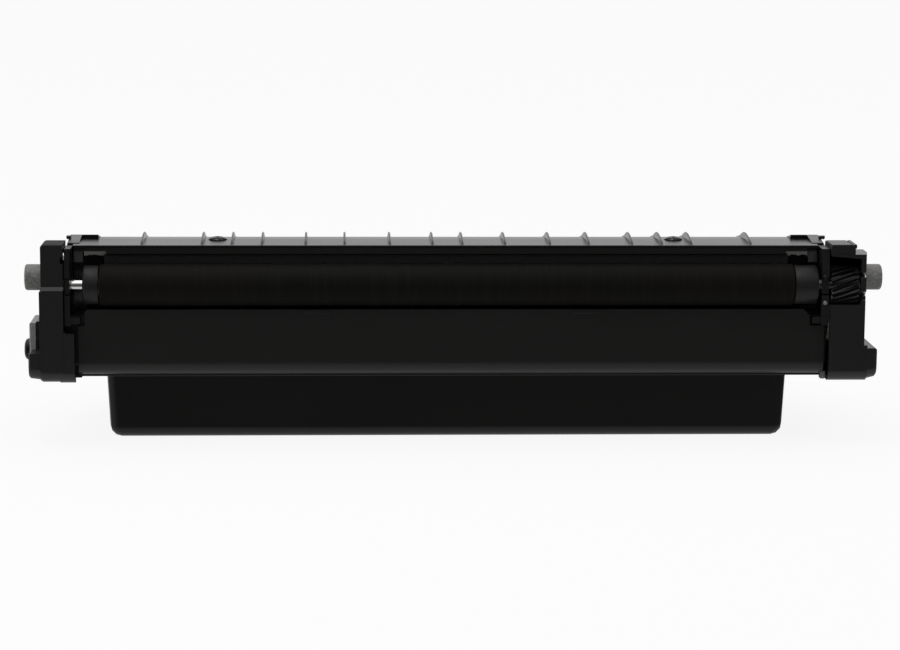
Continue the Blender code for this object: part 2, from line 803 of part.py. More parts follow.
def post(y, z, gear_width):
    """A post for a gear of some width, standing on the right end plate."""
    end = GEAR_START + gear_width + GEAR_ROW_GAP
    return moved(rod(PLATE_RIGHT_OUT - EMBED, end, POST_DIA), (0, y, z))


def screw_boss(side, y, z):
    """A boss outside an end plate that reaches a cover's inner face and takes its screw."""
    if side > 0:
        x0, x1 = PLATE_RIGHT_OUT - EMBED, RIGHT_SIDE_IN - SEAT_GAP
    else:
        x0, x1 = LEFT_POST_OUT + COVER_WALL + SEAT_GAP, PLATE_LEFT_OUT + EMBED
    return moved(rod(x0, x1, COVER_SCREW_BOSS_DIA), (0, y, z))


def build_frame(mats):
    """The frame: trough, hopper tub, end plates and what is moulded on them."""
    frame = piece(
        "main_frame",
        extruded(trough_outline(), "x", PLATE_LEFT_IN - EMBED, PLATE_RIGHT_IN + EMBED),
        mats["frame"],
    )
    joined(frame, "hopper", hopper_block(0.0))
    plates = together(
        extruded(plate_outline(), "x", PLATE_LEFT_OUT, PLATE_LEFT_IN),
        extruded(plate_outline(), "x", PLATE_RIGHT_IN, PLATE_RIGHT_OUT),
    )
    joined(frame, "plates", plates)
    joined(frame, "gear_plate", extruded(gear_plate_outline(), "x", PLATE_RIGHT_IN, PLATE_RIGHT_OUT))
    cut(frame, "hollow", hopper_block(TUB_WALL))
    saddles = together(
        saddle(PLATE_LEFT_IN - EMBED, COLLAR_LEFT_END + END_SEAL_LENGTH),
        saddle(COLLAR_RIGHT_END - END_SEAL_LENGTH, PLATE_RIGHT_IN + EMBED),
    )
    joined(frame, "saddles", saddles)
    ledge_top = BRACKET_BOTTOM - SEAT_GAP
    ledge_low = ledge_top - LEDGE_HEIGHT
    ledges = end_blocks(LEDGE_LENGTH, LEDGE_FRONT, LEDGE_BACK, ledge_low, ledge_top)
    joined(frame, "ledges", ledges)
    hook_front = PLATE_NOSE + SEAT_GAP
    hook_back = PLATE_NOSE + END_HOOK_DEPTH
    hooks = end_blocks(END_HOOK_WIDTH, hook_front, hook_back, END_HOOK_LOW, END_HOOK_HIGH)
    joined(frame, "end_hooks", hooks)
    posts = together(
        post(*IDLER, IDLER_GEAR_WIDTH),
        post(*REDUCTION, 2 * NARROW_GEAR_WIDTH + GEAR_ROW_GAP),
        *[screw_boss(1, *place) for place in RIGHT_COVER_SCREWS],
        screw_boss(-1, *LEFT_COVER_SCREW),
    )
    joined(frame, "posts", posts)

    half = BEARING_HEIGHT / 2 + SEAT_GAP
    through = EMBED + WALL
    slot_front = PLATE_NOSE - EMBED
    slot_back = ROLLER_Y + BEARING_BACK + SEAT_GAP
    slots = [
        block(x0 - EMBED, x1 + EMBED, slot_front, slot_back, ROLLER_Z - half, ROLLER_Z + half)
        for x0, x1 in ((PLATE_LEFT_OUT, PLATE_LEFT_IN), (PLATE_RIGHT_IN, PLATE_RIGHT_OUT))
    ]
    cut(frame, "bearing_slots", together(*slots))
    bores = []
    for left, right in (
        (PLATE_LEFT_OUT - through, PLATE_LEFT_IN + through),
        (PLATE_RIGHT_IN - through, PLATE_RIGHT_OUT + through),
    ):
        bores.append(moved(rod(left, right, JOURNAL_DIA + 2 * RUN_GAP), (0, *SUPPLY)))
        bores.append(moved(rod(left, right, AGITATOR_JOURNAL_DIA + 2 * RUN_GAP), (0, *AGITATOR)))
    plug_hole = rod(PLATE_LEFT_OUT - through, PLATE_LEFT_IN + through, PLUG_DIA + 2 * SEAT_GAP, MEDIUM)
    bores.append(moved(plug_hole, (0, PLUG_Y, PLUG_Z)))
    cut(frame, "bores", together(*bores))
    screw_hole = SCREW_SHANK_DIA + HOLE_PLAY
    holes = []
    for x in (-BLADE_SCREW_X, BLADE_SCREW_X):
        hole = upright(rod(-LEDGE_HEIGHT - EMBED, EMBED, screw_hole, SMALL))
        holes.append(moved(hole, (x, BLADE_SCREW_Y, ledge_top)))
    for y, z in RIGHT_COVER_SCREWS:
        hole = rod(RIGHT_SIDE_IN - COVER_SCREW_BITE - EMBED, RIGHT_SIDE_IN, screw_hole, SMALL)
        holes.append(moved(hole, (0, y, z)))
    boss_end = LEFT_POST_OUT + COVER_WALL
    hole = rod(boss_end, boss_end + COVER_SCREW_BITE + EMBED, screw_hole, SMALL)
    holes.append(moved(hole, (0, *LEFT_COVER_SCREW)))
    cut(frame, "screw_holes", together(*holes))
    return frame


def lid_outline():
    """The lid's section in Y and Z: lip, crest, long curve and rear flange."""
    flange_y = HOPPER_BACK - WALL
    top = [(y, lid_top_z(y)) for y in spread(LID_CREST_Y, flange_y, LID_STEPS + 1)]
    under = [(y, z - LID_THICK) for y, z in top]
    seat = FLANGE_TOP + SEAT_GAP
    under[-1] = (flange_y, seat)
    back = HOPPER_BACK + FLANGE_DEPTH
    lip_back = LID_FRONT + LID_LIP_THICK
    return [
        (LID_FRONT, LID_FRONT_Z),
        *top,
        (back, top[-1][1]),
        (back, seat),
        *reversed(under),
        (lip_back, LID_FRONT_Z - LID_THICK),
        (lip_back, LID_LIP_BOTTOM),
        (LID_FRONT + LID_GROOVE_DEPTH, LID_LIP_BOTTOM),
        (LID_FRONT, LID_GROOVE_BOTTOM),
        (LID_FRONT + LID_GROOVE_DEPTH, LID_GROOVE_BOTTOM),
        (LID_FRONT + LID_GROOVE_DEPTH, LID_GROOVE_TOP),
        (LID_FRONT, LID_GROOVE_TOP),
    ]


def guide_rib(x):
    """A paper guide rib: rises behind the lip, follows the lid's curve and fades out."""
    start = LID_FRONT + RIB_START_SETBACK
    end = HOPPER_BACK - RIB_END_SETBACK
    depths = [start, *spread(LID_CREST_Y, end, LID_STEPS)]
    crest = [(y, lid_top_z(y) + RIB_HEIGHT) for y in depths[1:]]
    crest[-1] = (end, lid_top_z(end) + EMBED)
    foot = [(y, lid_top_z(y) - EMBED) for y in depths]
    outline = [(start, lid_top_z(start)), *crest, *reversed(foot)]
    bm = extruded(outline, "x", x - RIB_BASE / 2, x + RIB_BASE / 2)
    tips = {(round(y, 6), round(z, 6)) for y, z in crest[:-1]}
    for vert in bm.verts:
        if (round(vert.co.y, 6), round(vert.co.z, 6)) in tips:
            vert.co.x += (RIB_BASE - RIB_TIP) / 2 * (1 if vert.co.x < x else -1)
    return bm


def end_pad(side):
    """The raised block near a lid end and the ramp beside it."""
    edge = PLATE_RIGHT_OUT - LID_OVERHANG if side > 0 else PLATE_LEFT_OUT + LID_OVERHANG
    ramp_in = edge - side * PAD_RAMP_WIDTH
    block_in = ramp_in - side * PAD_WIDTH
    top = lid_top_z(PAD_FRONT) + PAD_HEIGHT
    low = lid_top_z(PAD_BACK) - EMBED
    outline = [
        (LID_SIDE_FRONT + SEAT_GAP, lid_top_z(LID_SIDE_FRONT) - EMBED),
        (PAD_BACK, low),
        (PAD_BACK, top),
        (PAD_FRONT, top),
        (LID_SIDE_FRONT + SEAT_GAP, lid_top_z(LID_SIDE_FRONT) + EMBED / 2),
    ]
    ramp = extruded(outline, "x", *sorted((edge, ramp_in)))
    pad = extruded(
        [(PAD_FRONT, low), (PAD_BACK, low), (PAD_BACK, top), (PAD_FRONT, top)],
        "x",
        *sorted((ramp_in + side * EMBED, block_in)),
    )
    return ramp, pad


def build_lid(mats):
    """The lid with its lip, ribs, end pads, cheeks and rear grip."""
    left = PLATE_LEFT_OUT + LID_OVERHANG
    right = PLATE_RIGHT_OUT - LID_OVERHANG
    lid = piece("top_cover", extruded(lid_outline(), "x", left, right), mats["lid"])
    gap_left = PLATE_LEFT_IN + SEAT_GAP
    gap_right = PLATE_RIGHT_IN - SEAT_GAP
    high = LID_CREST_Z + RIB_HEIGHT
    corner_front = LID_FRONT - EMBED
    corner_low = LID_LIP_BOTTOM - EMBED
    corners = together(
        block(left - EMBED, gap_left, corner_front, LID_SIDE_FRONT, corner_low, high),
        block(gap_right, right + EMBED, corner_front, LID_SIDE_FRONT, corner_low, high),
    )
    cut(lid, "corners", corners)
    ribs = [guide_rib(side * x) for x in RIB_OFFSETS for side in (-1, 1)]
    joined(lid, "ribs", together(*ribs))
    ramp_left, pad_left = end_pad(-1)
    ramp_right, pad_right = end_pad(1)
    joined(lid, "ramps", together(ramp_left, ramp_right))
    joined(lid, "pads", together(pad_left, pad_right))
    cheek_top = LID_FRONT_Z - LID_THICK + EMBED
    cheek_limits = (LID_FRONT + LID_GROOVE_DEPTH / 2, CHEEK_BACK, CHEEK_BOTTOM, cheek_top)
    cheeks = together(
        block(gap_left + EMBED / 2, gap_left + CHEEK_WIDTH, *cheek_limits),
        block(gap_right - CHEEK_WIDTH, gap_right - EMBED / 2, *cheek_limits),
    )
    joined(lid, "cheeks", cheeks)
    back = HOPPER_BACK + FLANGE_DEPTH
    grip_top = lid_top_z(HOPPER_BACK - WALL)
    grip_low = FLANGE_TOP + SEAT_GAP
    half = GRIP_WIDTH / 2
    outline = [
        (-half - GRIP_DEPTH, back - EMBED),
        (half + GRIP_DEPTH, back - EMBED),
        (half, back + GRIP_DEPTH),
        (-half, back + GRIP_DEPTH),
    ]
    joined(lid, "grip", extruded(outline, "z", grip_low + EMBED / 2, grip_top - EMBED / 2))
    grooves = []
    for x in spread(-half, half, GRIP_RIB_COUNT):
        grooves.append(
            block(
                x - GRIP_RIB_WIDTH / 2,
                x + GRIP_RIB_WIDTH / 2,
                back + EMBED,
                back + GRIP_DEPTH - EMBED,
                grip_top - EMBED,
                grip_top + EMBED,
            )
        )
    cut(lid, "grip_grooves", together(*grooves))
    top = lid_top_z(LID_SCREW_Y)
    recesses = []
    shanks = []
    for x in (-LID_SCREW_X, LID_SCREW_X):
        recess = upright(rod(-SCREW_RECESS, RIB_HEIGHT, SCREW_HEAD_DIA + HOLE_PLAY))
        recesses.append(moved(recess, (x, LID_SCREW_Y, top)))
        shank = upright(rod(-LID_THICK - EMBED, EMBED, SCREW_SHANK_DIA + HOLE_PLAY, SMALL))
        shanks.append(moved(shank, (x, LID_SCREW_Y, top)))
    cut(lid, "screw_recesses", together(*recesses))
    cut(lid, "screw_holes", together(*shanks))
    return lid


def screw(name, mat, head_dia, head_high, shank, at, direction):
    """A round-headed screw; the head's underside is at its origin, the shank runs backwards."""
    head = head_dia / 2
    neck = SCREW_SHANK_DIA / 2
    profile = [
        (-shank, 0.0),
        (-shank, neck),
        (0.0, neck),
        (0.0, head),
        (head_high * DOME_SKIRT, head),
        (head_high, head * DOME_FLAT),
        (head_high, 0.0),
    ]
    bm = turned(profile, SMALL)
    if direction == "up":
        upright(bm)
    elif direction == "left":
        bmesh.ops.rotate(bm, cent=(0, 0, 0), matrix=Matrix.Rotation(pi, 3, "Z"), verts=bm.verts[:])
    return piece(name, bm, mat, at)


def build_panel(mats):
    """The front panel with its curved lower edge, notched ends and two clip tabs."""
    centre = (PANEL_FACE + PANEL_CURVE_R, PANEL_BOTTOM + PANEL_CURVE_R)
    inner_r = PANEL_CURVE_R - PANEL_THICK
    back = centre[0] + PANEL_RETURN
    outline = [
        (PANEL_FACE, PANEL_TOP),
        *arc(centre, PANEL_CURVE_R, 180, 270, 6),
        (back, PANEL_BOTTOM),
        (back, PANEL_BOTTOM + PANEL_THICK),
        *reversed(arc(centre, inner_r, 180, 270, 4)),
        (PANEL_FACE + PANEL_THICK, PANEL_TOP),
    ]
    panel = piece("front_panel", extruded(outline, "x", PANEL_LEFT, PANEL_RIGHT), mats["panel"])
    high = PANEL_TOP + EMBED
    corner = (PANEL_NOTCH_LEFT + PANEL_CORNER_R, PANEL_TOP - PANEL_CORNER_R)
    left_notch = [
        (PANEL_LEFT - EMBED, PANEL_NOTCH_Z),
        (PANEL_NOTCH_LEFT, PANEL_NOTCH_Z),
        *reversed(arc(corner, PANEL_CORNER_R, 90, 180, 3)),
        (PANEL_NOTCH_LEFT + PANEL_CORNER_R + EMBED, high),
        (PANEL_LEFT - EMBED, high),
    ]
    right_notch = [
        (PANEL_RIGHT + EMBED, PANEL_NOTCH_Z),
        (PANEL_RIGHT + EMBED, high),
        (PANEL_NOTCH_RIGHT - PANEL_CHAMFER - EMBED, high),
        (PANEL_NOTCH_RIGHT - PANEL_CHAMFER, PANEL_TOP - EMBED / 4),
        (PANEL_NOTCH_RIGHT, PANEL_TOP - PANEL_CHAMFER),
        (PANEL_NOTCH_RIGHT, PANEL_NOTCH_Z),
    ]
    front, rear = PANEL_FACE - 2 * EMBED, PANEL_FACE + PANEL_THICK + EMBED
    notches = together(
        extruded(left_notch, "y", front, rear),
        extruded(right_notch, "y", front, rear),
    )
    cut(panel, "notches", notches)
    tabs = []
    for x in TAB_CENTRES:
        tabs.append(
            block(
                x - TAB_WIDTH / 2,
                x + TAB_WIDTH / 2,
                PANEL_FACE - TAB_PROUD,
                PANEL_FACE + EMBED,
                PANEL_TOP - TAB_HEIGHT,
                PANEL_TOP - EMBED / 5,
            )
        )
    joined(panel, "tabs", together(*tabs))
    return panel


def build_developer(mats):
    """The developer roller: rubber sleeve, steel core, end collars and helical gear."""
    axis = pivot("developer_axis", *DEVELOPER)
    half = ROLLER_DIA / 2
    inner = CORE_DIA / 2 + SEAT_GAP / 2
    rim = COLLAR_RIM
    sleeve = [
        (ROLLER_LEFT, inner),
        (ROLLER_LEFT, half - rim),
        (ROLLER_LEFT + rim, half),
        (ROLLER_RIGHT - rim, half),
        (ROLLER_RIGHT, half - rim),
        (ROLLER_RIGHT, inner),
    ]
    piece("developer_roller", turned(sleeve, FINE), mats["rubber"], parent=axis)
    journal = JOURNAL_DIA / 2
    core = CORE_DIA / 2
    left_end = PLATE_LEFT_OUT - SHAFT_LEFT_PROUD
    right_end = RIGHT_SIDE_OUT
    shaft = [
        (left_end, 0.0),
        (left_end, journal - SEAT_GAP),
        (left_end + SEAT_GAP, journal),
        (COLLAR_LEFT_END + rim, journal),
        (COLLAR_LEFT_END + rim, core),
        (COLLAR_RIGHT_END - rim, core),
        (COLLAR_RIGHT_END - rim, journal),
        (right_end - SEAT_GAP, journal),
        (right_end, journal - SEAT_GAP),
        (right_end, 0.0),
    ]
    piece("developer_shaft", turned(shaft, MEDIUM), mats["steel"], parent=axis)
    for name, outer, near in (
        ("roller_collar_left", COLLAR_LEFT_END, ROLLER_LEFT - SEAT_GAP),
        ("roller_collar_right", COLLAR_RIGHT_END, ROLLER_RIGHT + SEAT_GAP),
    ):
        inward = 1 if near > outer else -1
        bore = CORE_DIA / 2 + SEAT_GAP / 2
        end_bore = JOURNAL_DIA / 2 + SEAT_GAP / 2
        shoulder = outer + inward * (rim - SEAT_GAP)
        collar = [
            (outer, end_bore),
            (outer, COLLAR_DIA / 2 - rim),
            (outer + inward * rim, COLLAR_DIA / 2),
            (near, COLLAR_DIA / 2),
            (near, bore),
            (shoulder, bore),
            (shoulder, end_bore),
        ]
        piece(name, turned(collar, ROUND), mats["collar"], parent=axis)
    gear = gear_solid(
        DEVELOPER_TEETH,
        MODULE,
        JOURNAL_DIA + SEAT_GAP,
        DEVELOPER_GEAR_WIDTH,
        0.0,
        twist_of(DEVELOPER_TEETH, -1),
        3,
        fine=True,
        segments=MEDIUM,
    )
    piece("developer_gear", gear, mats["gear"], parent=axis)
    return axis


def build_supply(mats, phase):
    """The supply roller: foam, steel core and gear."""
    axis = pivot("supply_axis", *SUPPLY)
    left, right = ROLLER_LEFT + SUPPLY_SETBACK, ROLLER_RIGHT - SUPPLY_SETBACK
    core = SUPPLY_CORE_DIA / 2
    journal = JOURNAL_DIA / 2
    foam = [
        (left, core + SEAT_GAP / 2),
        (left, SUPPLY_DIA / 2),
        (right, SUPPLY_DIA / 2),
        (right, core + SEAT_GAP / 2),
    ]
    piece("supply_roller", turned(foam, MEDIUM), mats["foam"], parent=axis)
    left_end = PLATE_LEFT_OUT - EMBED
    right_end = GEAR_START + NARROW_GEAR_WIDTH + EMBED
    shaft = [
        (left_end, 0.0),
        (left_end, journal),
        (left - SUPPLY_SETBACK, journal),
        (left - SUPPLY_SETBACK, core),
        (right + SUPPLY_SETBACK, core),
        (right + SUPPLY_SETBACK, journal),
        (right_end, journal),
        (right_end, 0.0),
    ]
    piece("supply_shaft", turned(shaft, COARSE), mats["steel"], parent=axis)
    gear = gear_solid(
        SUPPLY_TEETH,
        MODULE,
        JOURNAL_DIA + SEAT_GAP,
        NARROW_GEAR_WIDTH,
        phase,
        twist_of(SUPPLY_TEETH, -1),
        1,
    )
    piece("supply_gear", gear, mats["white_gear"], parent=axis)
    return axis


def build_agitator(mats, phase):
    """The agitator: moulded shaft with arms and a bar, sweeping film and spur gear."""
    axis = pivot("agitator_axis", *AGITATOR)
    left_end = PLATE_LEFT_OUT + SEAT_GAP
    right_end = GEAR_START + NARROW_GEAR_WIDTH + EMBED
    journal = AGITATOR_JOURNAL_DIA / 2
    body = AGITATOR_SHAFT_DIA / 2
    span = HOPPER_RIGHT - TUB_WALL - AGITATOR_END_CLEARANCE
    shaft = [
        (left_end, 0.0),
        (left_end, journal),
        (-span, journal),
        (-span, body),
        (span, body),
        (span, journal),
        (right_end, journal),
        (right_end, 0.0),
    ]
    rotor = piece("agitator_shaft", turned(shaft, COARSE), mats["agitator"], parent=axis)
    half = AGITATOR_BAR_THICK / 2
    bar = block(-span, span, -half, half, -AGITATOR_BAR_RADIUS - AGITATOR_BAR_HEIGHT, -AGITATOR_BAR_RADIUS)
    arms = []
    for x in spread(-span + AGITATOR_ARM_WIDTH / 2, span - AGITATOR_ARM_WIDTH / 2, AGITATOR_ARM_COUNT):
        arms.append(
            block(
                x - AGITATOR_ARM_WIDTH / 2,
                x + AGITATOR_ARM_WIDTH / 2,
                -half + SEAT_GAP,
                half - SEAT_GAP,
                -AGITATOR_BAR_RADIUS - EMBED,
                -body / 2,
            )
        )
    joined(rotor, "arms", together(*arms))
    joined(rotor, "bar", bar)
    near = half + SEAT_GAP
    film = block(-span, span, near, near + FILM_THICK, -AGITATOR_REACH, -AGITATOR_BAR_RADIUS)
    piece("agitator_film", film, mats["clear_film"], parent=axis)
    gear = gear_solid(
        AGITATOR_TEETH,
        SPUR_MODULE,
        AGITATOR_JOURNAL_DIA + SEAT_GAP,
        NARROW_GEAR_WIDTH,
        phase,
        0.0,
        1,
    )
    piece("agitator_gear", gear, mats["white_gear"], parent=axis)
    return axis


def build_train(mats):
    """The idler and the reduction gear on their posts, and the phases of the other gears."""
    idler_phase = meshed_phase(0.0, DEVELOPER_TEETH, DEVELOPER, IDLER, IDLER_TEETH)
    supply_phase = meshed_phase(idler_phase, IDLER_TEETH, IDLER, SUPPLY, SUPPLY_TEETH)
    reduction_phase = meshed_phase(idler_phase, IDLER_TEETH, IDLER, REDUCTION, REDUCTION_TEETH)
    agitator_phase = meshed_phase(0.0, PINION_TEETH, REDUCTION, AGITATOR, AGITATOR_TEETH)
    bore = POST_DIA + 2 * RUN_GAP
    idler_axis = pivot("idler_axis", *IDLER)
    idler = gear_solid(
        IDLER_TEETH,
        MODULE,
        bore,
        IDLER_GEAR_WIDTH,
        idler_phase,
        twist_of(IDLER_TEETH, 1),
        2,
    )
    piece("idler_gear", idler, mats["white_gear"], parent=idler_axis)
    reduction_axis = pivot("reduction_axis", *REDUCTION)
    reduction = reduction_solid(bore, reduction_phase)
    piece("reduction_gear", reduction, mats["white_gear"], parent=reduction_axis)
    return supply_phase, agitator_phase


def build_blade(mats):
    """The doctor blade, its angle bracket, the screws and the foam in front of it."""
    top = BRACKET_BOTTOM + BRACKET_HEIGHT
    inner_y = BRACKET_FRONT + BRACKET_THICK
    inner_z = BRACKET_BOTTOM + BRACKET_THICK
    outline = [
        (BRACKET_FRONT, BRACKET_BOTTOM),
        (BRACKET_BACK, BRACKET_BOTTOM),
        (BRACKET_BACK, inner_z),
        (inner_y, inner_z),
        (inner_y, top),
        (BRACKET_FRONT, top),
    ]
    bracket = piece("blade_bracket", extruded(outline, "x", BRACKET_LEFT, BRACKET_RIGHT), mats["bracket"])
    holes = []
    for x, y in ((BLADE_SCREW_X, BLADE_SCREW_Y), (LID_SCREW_X, LID_SCREW_Y)):
        for side in (-1, 1):
            hole = upright(rod(-EMBED, BRACKET_THICK + EMBED, SCREW_SHANK_DIA + HOLE_PLAY, SMALL))
            holes.append(moved(hole, (side * x, y, BRACKET_BOTTOM)))
    cut(bracket, "screw_holes", together(*holes))
    for name, x in (("blade_screw_left", -BLADE_SCREW_X), ("blade_screw_right", BLADE_SCREW_X)):
        screw(
            name,
            mats["bright_screw"],
            BLADE_SCREW_HEAD_DIA,
            BLADE_SCREW_HEAD_HIGH,
            BRACKET_THICK + LEDGE_HEIGHT,
            (x, BLADE_SCREW_Y, inner_z + SEAT_GAP),
            "up",
        )
    blade_top = BRACKET_BOTTOM - SEAT_GAP
    reach = ROLLER_DIA / 2 + NIP_GAP
    tip = ROLLER_Z + sqrt(reach**2 - (BLADE_Y - ROLLER_Y) ** 2) + SEAT_GAP / 3
    outline = [
        (BLADE_Y, tip),
        (BLADE_Y + BLADE_THICK, tip),
        (BLADE_Y + BLADE_THICK, blade_top - BLADE_THICK),
        (BLADE_BACK, blade_top - BLADE_THICK),
        (BLADE_BACK, blade_top),
        (BLADE_Y, blade_top),
    ]
    left = ROLLER_LEFT + BLADE_END_SETBACK
    right = ROLLER_RIGHT - BLADE_END_SETBACK
    piece("doctor_blade", extruded(outline, "x", left, right), mats["blade"])
    foam_back = BRACKET_FRONT - SEAT_GAP
    foam_top = LID_LIP_BOTTOM - SEAT_GAP
    piece(
        "blade_foam",
        block(
            -BLADE_FOAM_END,
            BLADE_FOAM_END,
            foam_back - BLADE_FOAM_THICK,
            foam_back,
            foam_top - BLADE_FOAM_HEIGHT,
            foam_top,
        ),
        mats["seal"],
    )


def build_seals(mats):
    """The felt arcs behind the roller's ends and the film below the roller."""
    inner = ROLLER_DIA / 2 + SEAT_GAP
    outline = [
        *arc(DEVELOPER, inner + END_SEAL_THICK, END_SEAL_FROM_DEG, END_SEAL_TO_DEG, 7),
        *arc(DEVELOPER, inner, END_SEAL_TO_DEG, END_SEAL_FROM_DEG, 7),
    ]
    left = COLLAR_LEFT_END
    right = COLLAR_RIGHT_END
    piece("end_seal_left", extruded(outline, "x", left, left + END_SEAL_LENGTH), mats["seal"])
    piece("end_seal_right", extruded(outline, "x", right - END_SEAL_LENGTH, right), mats["seal"])
    slope = radians(FILM_SEAL_RISE_DEG)
    start = (TROUGH_FRONT + WALL / 4, TROUGH_TOP + SEAT_GAP)
    bend = (TROUGH_FRONT + WALL, TROUGH_TOP + SEAT_GAP)
    end = (bend[0] + FILM_SEAL_LENGTH * cos(slope), bend[1] + FILM_SEAL_LENGTH * sin(slope))
    film_left = left + END_SEAL_LENGTH + SEAT_GAP
    film_right = right - END_SEAL_LENGTH - SEAT_GAP
    under = [start, bend, end]
    outline = [*under, *((y, z + FILM_SEAL_THICK) for y, z in reversed(under))]
    piece("lower_film_seal", extruded(outline, "x", film_left, film_right), mats["film"])


def build_bearings(mats):
    """The bearing blocks of the developer shaft and the steel bush in the right cover."""
    low, high = ROLLER_Z - BEARING_HEIGHT / 2, ROLLER_Z + BEARING_HEIGHT / 2
    front = PLATE_NOSE + BEARING_FRONT_SETBACK
    back = ROLLER_Y + BEARING_BACK
    blocks = {}
    for name, plate_in, plate_out in (
        ("bearing_left", PLATE_LEFT_IN, PLATE_LEFT_OUT),
        ("bearing_right", PLATE_RIGHT_IN, PLATE_RIGHT_OUT),
    ):
        body = block(*sorted((plate_in, plate_out)), front, back, low, high)
        blocks[name] = piece(name, body, mats["frame"])
    lip_near = PLATE_LEFT_IN + SEAT_GAP
    lip_far = lip_near + BEARING_FLANGE_THICK
    neck_limits = (front + EMBED, back - EMBED, low + EMBED, high - EMBED)
    neck = block(PLATE_LEFT_IN - EMBED, lip_far - SEAT_GAP, *neck_limits)
    joined(blocks["bearing_left"], "neck", neck)
    lip = block(
        lip_near,
        lip_far,
        front + BEARING_FLANGE,
        back + BEARING_FLANGE,
        low - BEARING_FLANGE,
        high + BEARING_FLANGE,
    )
    joined(blocks["bearing_left"], "flange", lip)
    for name, x0, x1 in (
        ("bearing_left", PLATE_LEFT_OUT - EMBED, lip_far + EMBED),
        ("bearing_right", PLATE_RIGHT_IN - EMBED, PLATE_RIGHT_OUT + EMBED),
    ):
        hole = moved(rod(x0, x1, JOURNAL_DIA + 2 * RUN_GAP, MEDIUM), (0, *DEVELOPER))
        cut(blocks[name], "bore", hole)
    inner = JOURNAL_DIA / 2 + RUN_GAP
    outer = BUSH_DIA / 2
    ring = [
        (BUSH_LEFT, inner),
        (BUSH_LEFT, outer),
        (BUSH_RIGHT - SEAT_GAP, outer),
        (BUSH_RIGHT, outer - SEAT_GAP),
        (BUSH_RIGHT, inner),
    ]
    piece("bushing_right", moved(turned(ring, ROUND), (0, *DEVELOPER)), mats["steel"])


def toe_outline(front, back, bottom, top):
    """A cover's foot in Y and Z, with the rounded lower front edge."""
    centre = (front + COVER_TOE_R, bottom + COVER_TOE_R)
    return [(back, top), (front, top), *arc(centre, COVER_TOE_R, 180, 270, 4), (back, bottom)]


def foot_solid(outline, inner, outer, rise):
    """A foot along X from its root to its outer end, where its bottom is higher."""
    foot = extruded(outline, "x", inner, outer)
    low = min(point[1] for point in outline)

    def outside(point):
        return abs(point.x - outer) < abs(outer - inner) / 2

    for vert in foot.verts:
        if outside(vert.co) and vert.co.z < low + 2 * COVER_TOE_R:
            vert.co.z += rise
    return rounded(foot, lambda a, b: outside(a) and outside(b), COVER_EDGE_R / 2, 1)


def right_cover_outline(inset):
    """The right cover's outline in Y and Z, moved inwards by a wall."""
    front = COVER_FRONT + inset
    back = RIGHT_COVER_BACK - inset
    around = 2 * RUN_GAP + COVER_WALL - inset
    wheel = AGITATOR_TEETH * SPUR_MODULE / 2 + SPUR_MODULE
    reduction = REDUCTION_TEETH * MODULE / 2 + ADDENDUM
    toe_centre = (COVER_FRONT + COVER_TOE_R, COVER_BOTTOM + COVER_TOE_R)
    toe = arc(toe_centre, COVER_TOE_R - inset, 180, 270, 4)
    belly = [
        *arc(REDUCTION, reduction + around, 230, 258, 3),
        *arc(AGITATOR, wheel + around, 258, 335, 6),
    ]
    shoulder = SUPPLY[1] + SUPPLY_TEETH * MODULE / 2 + ADDENDUM + RUN_GAP + COVER_WALL - inset
    return [
        (front, RIGHT_COVER_TOP - inset),
        *toe,
        *belly,
        (back, AGITATOR[1]),
        (back, AGITATOR[1] + wheel + RIGHT_COVER_HEADROOM - inset),
        (SUPPLY[0] + RIGHT_COVER_SHOULDER - inset, shoulder),
        (RIGHT_BAR_BACK - inset, RIGHT_COVER_TOP - inset),
    ]


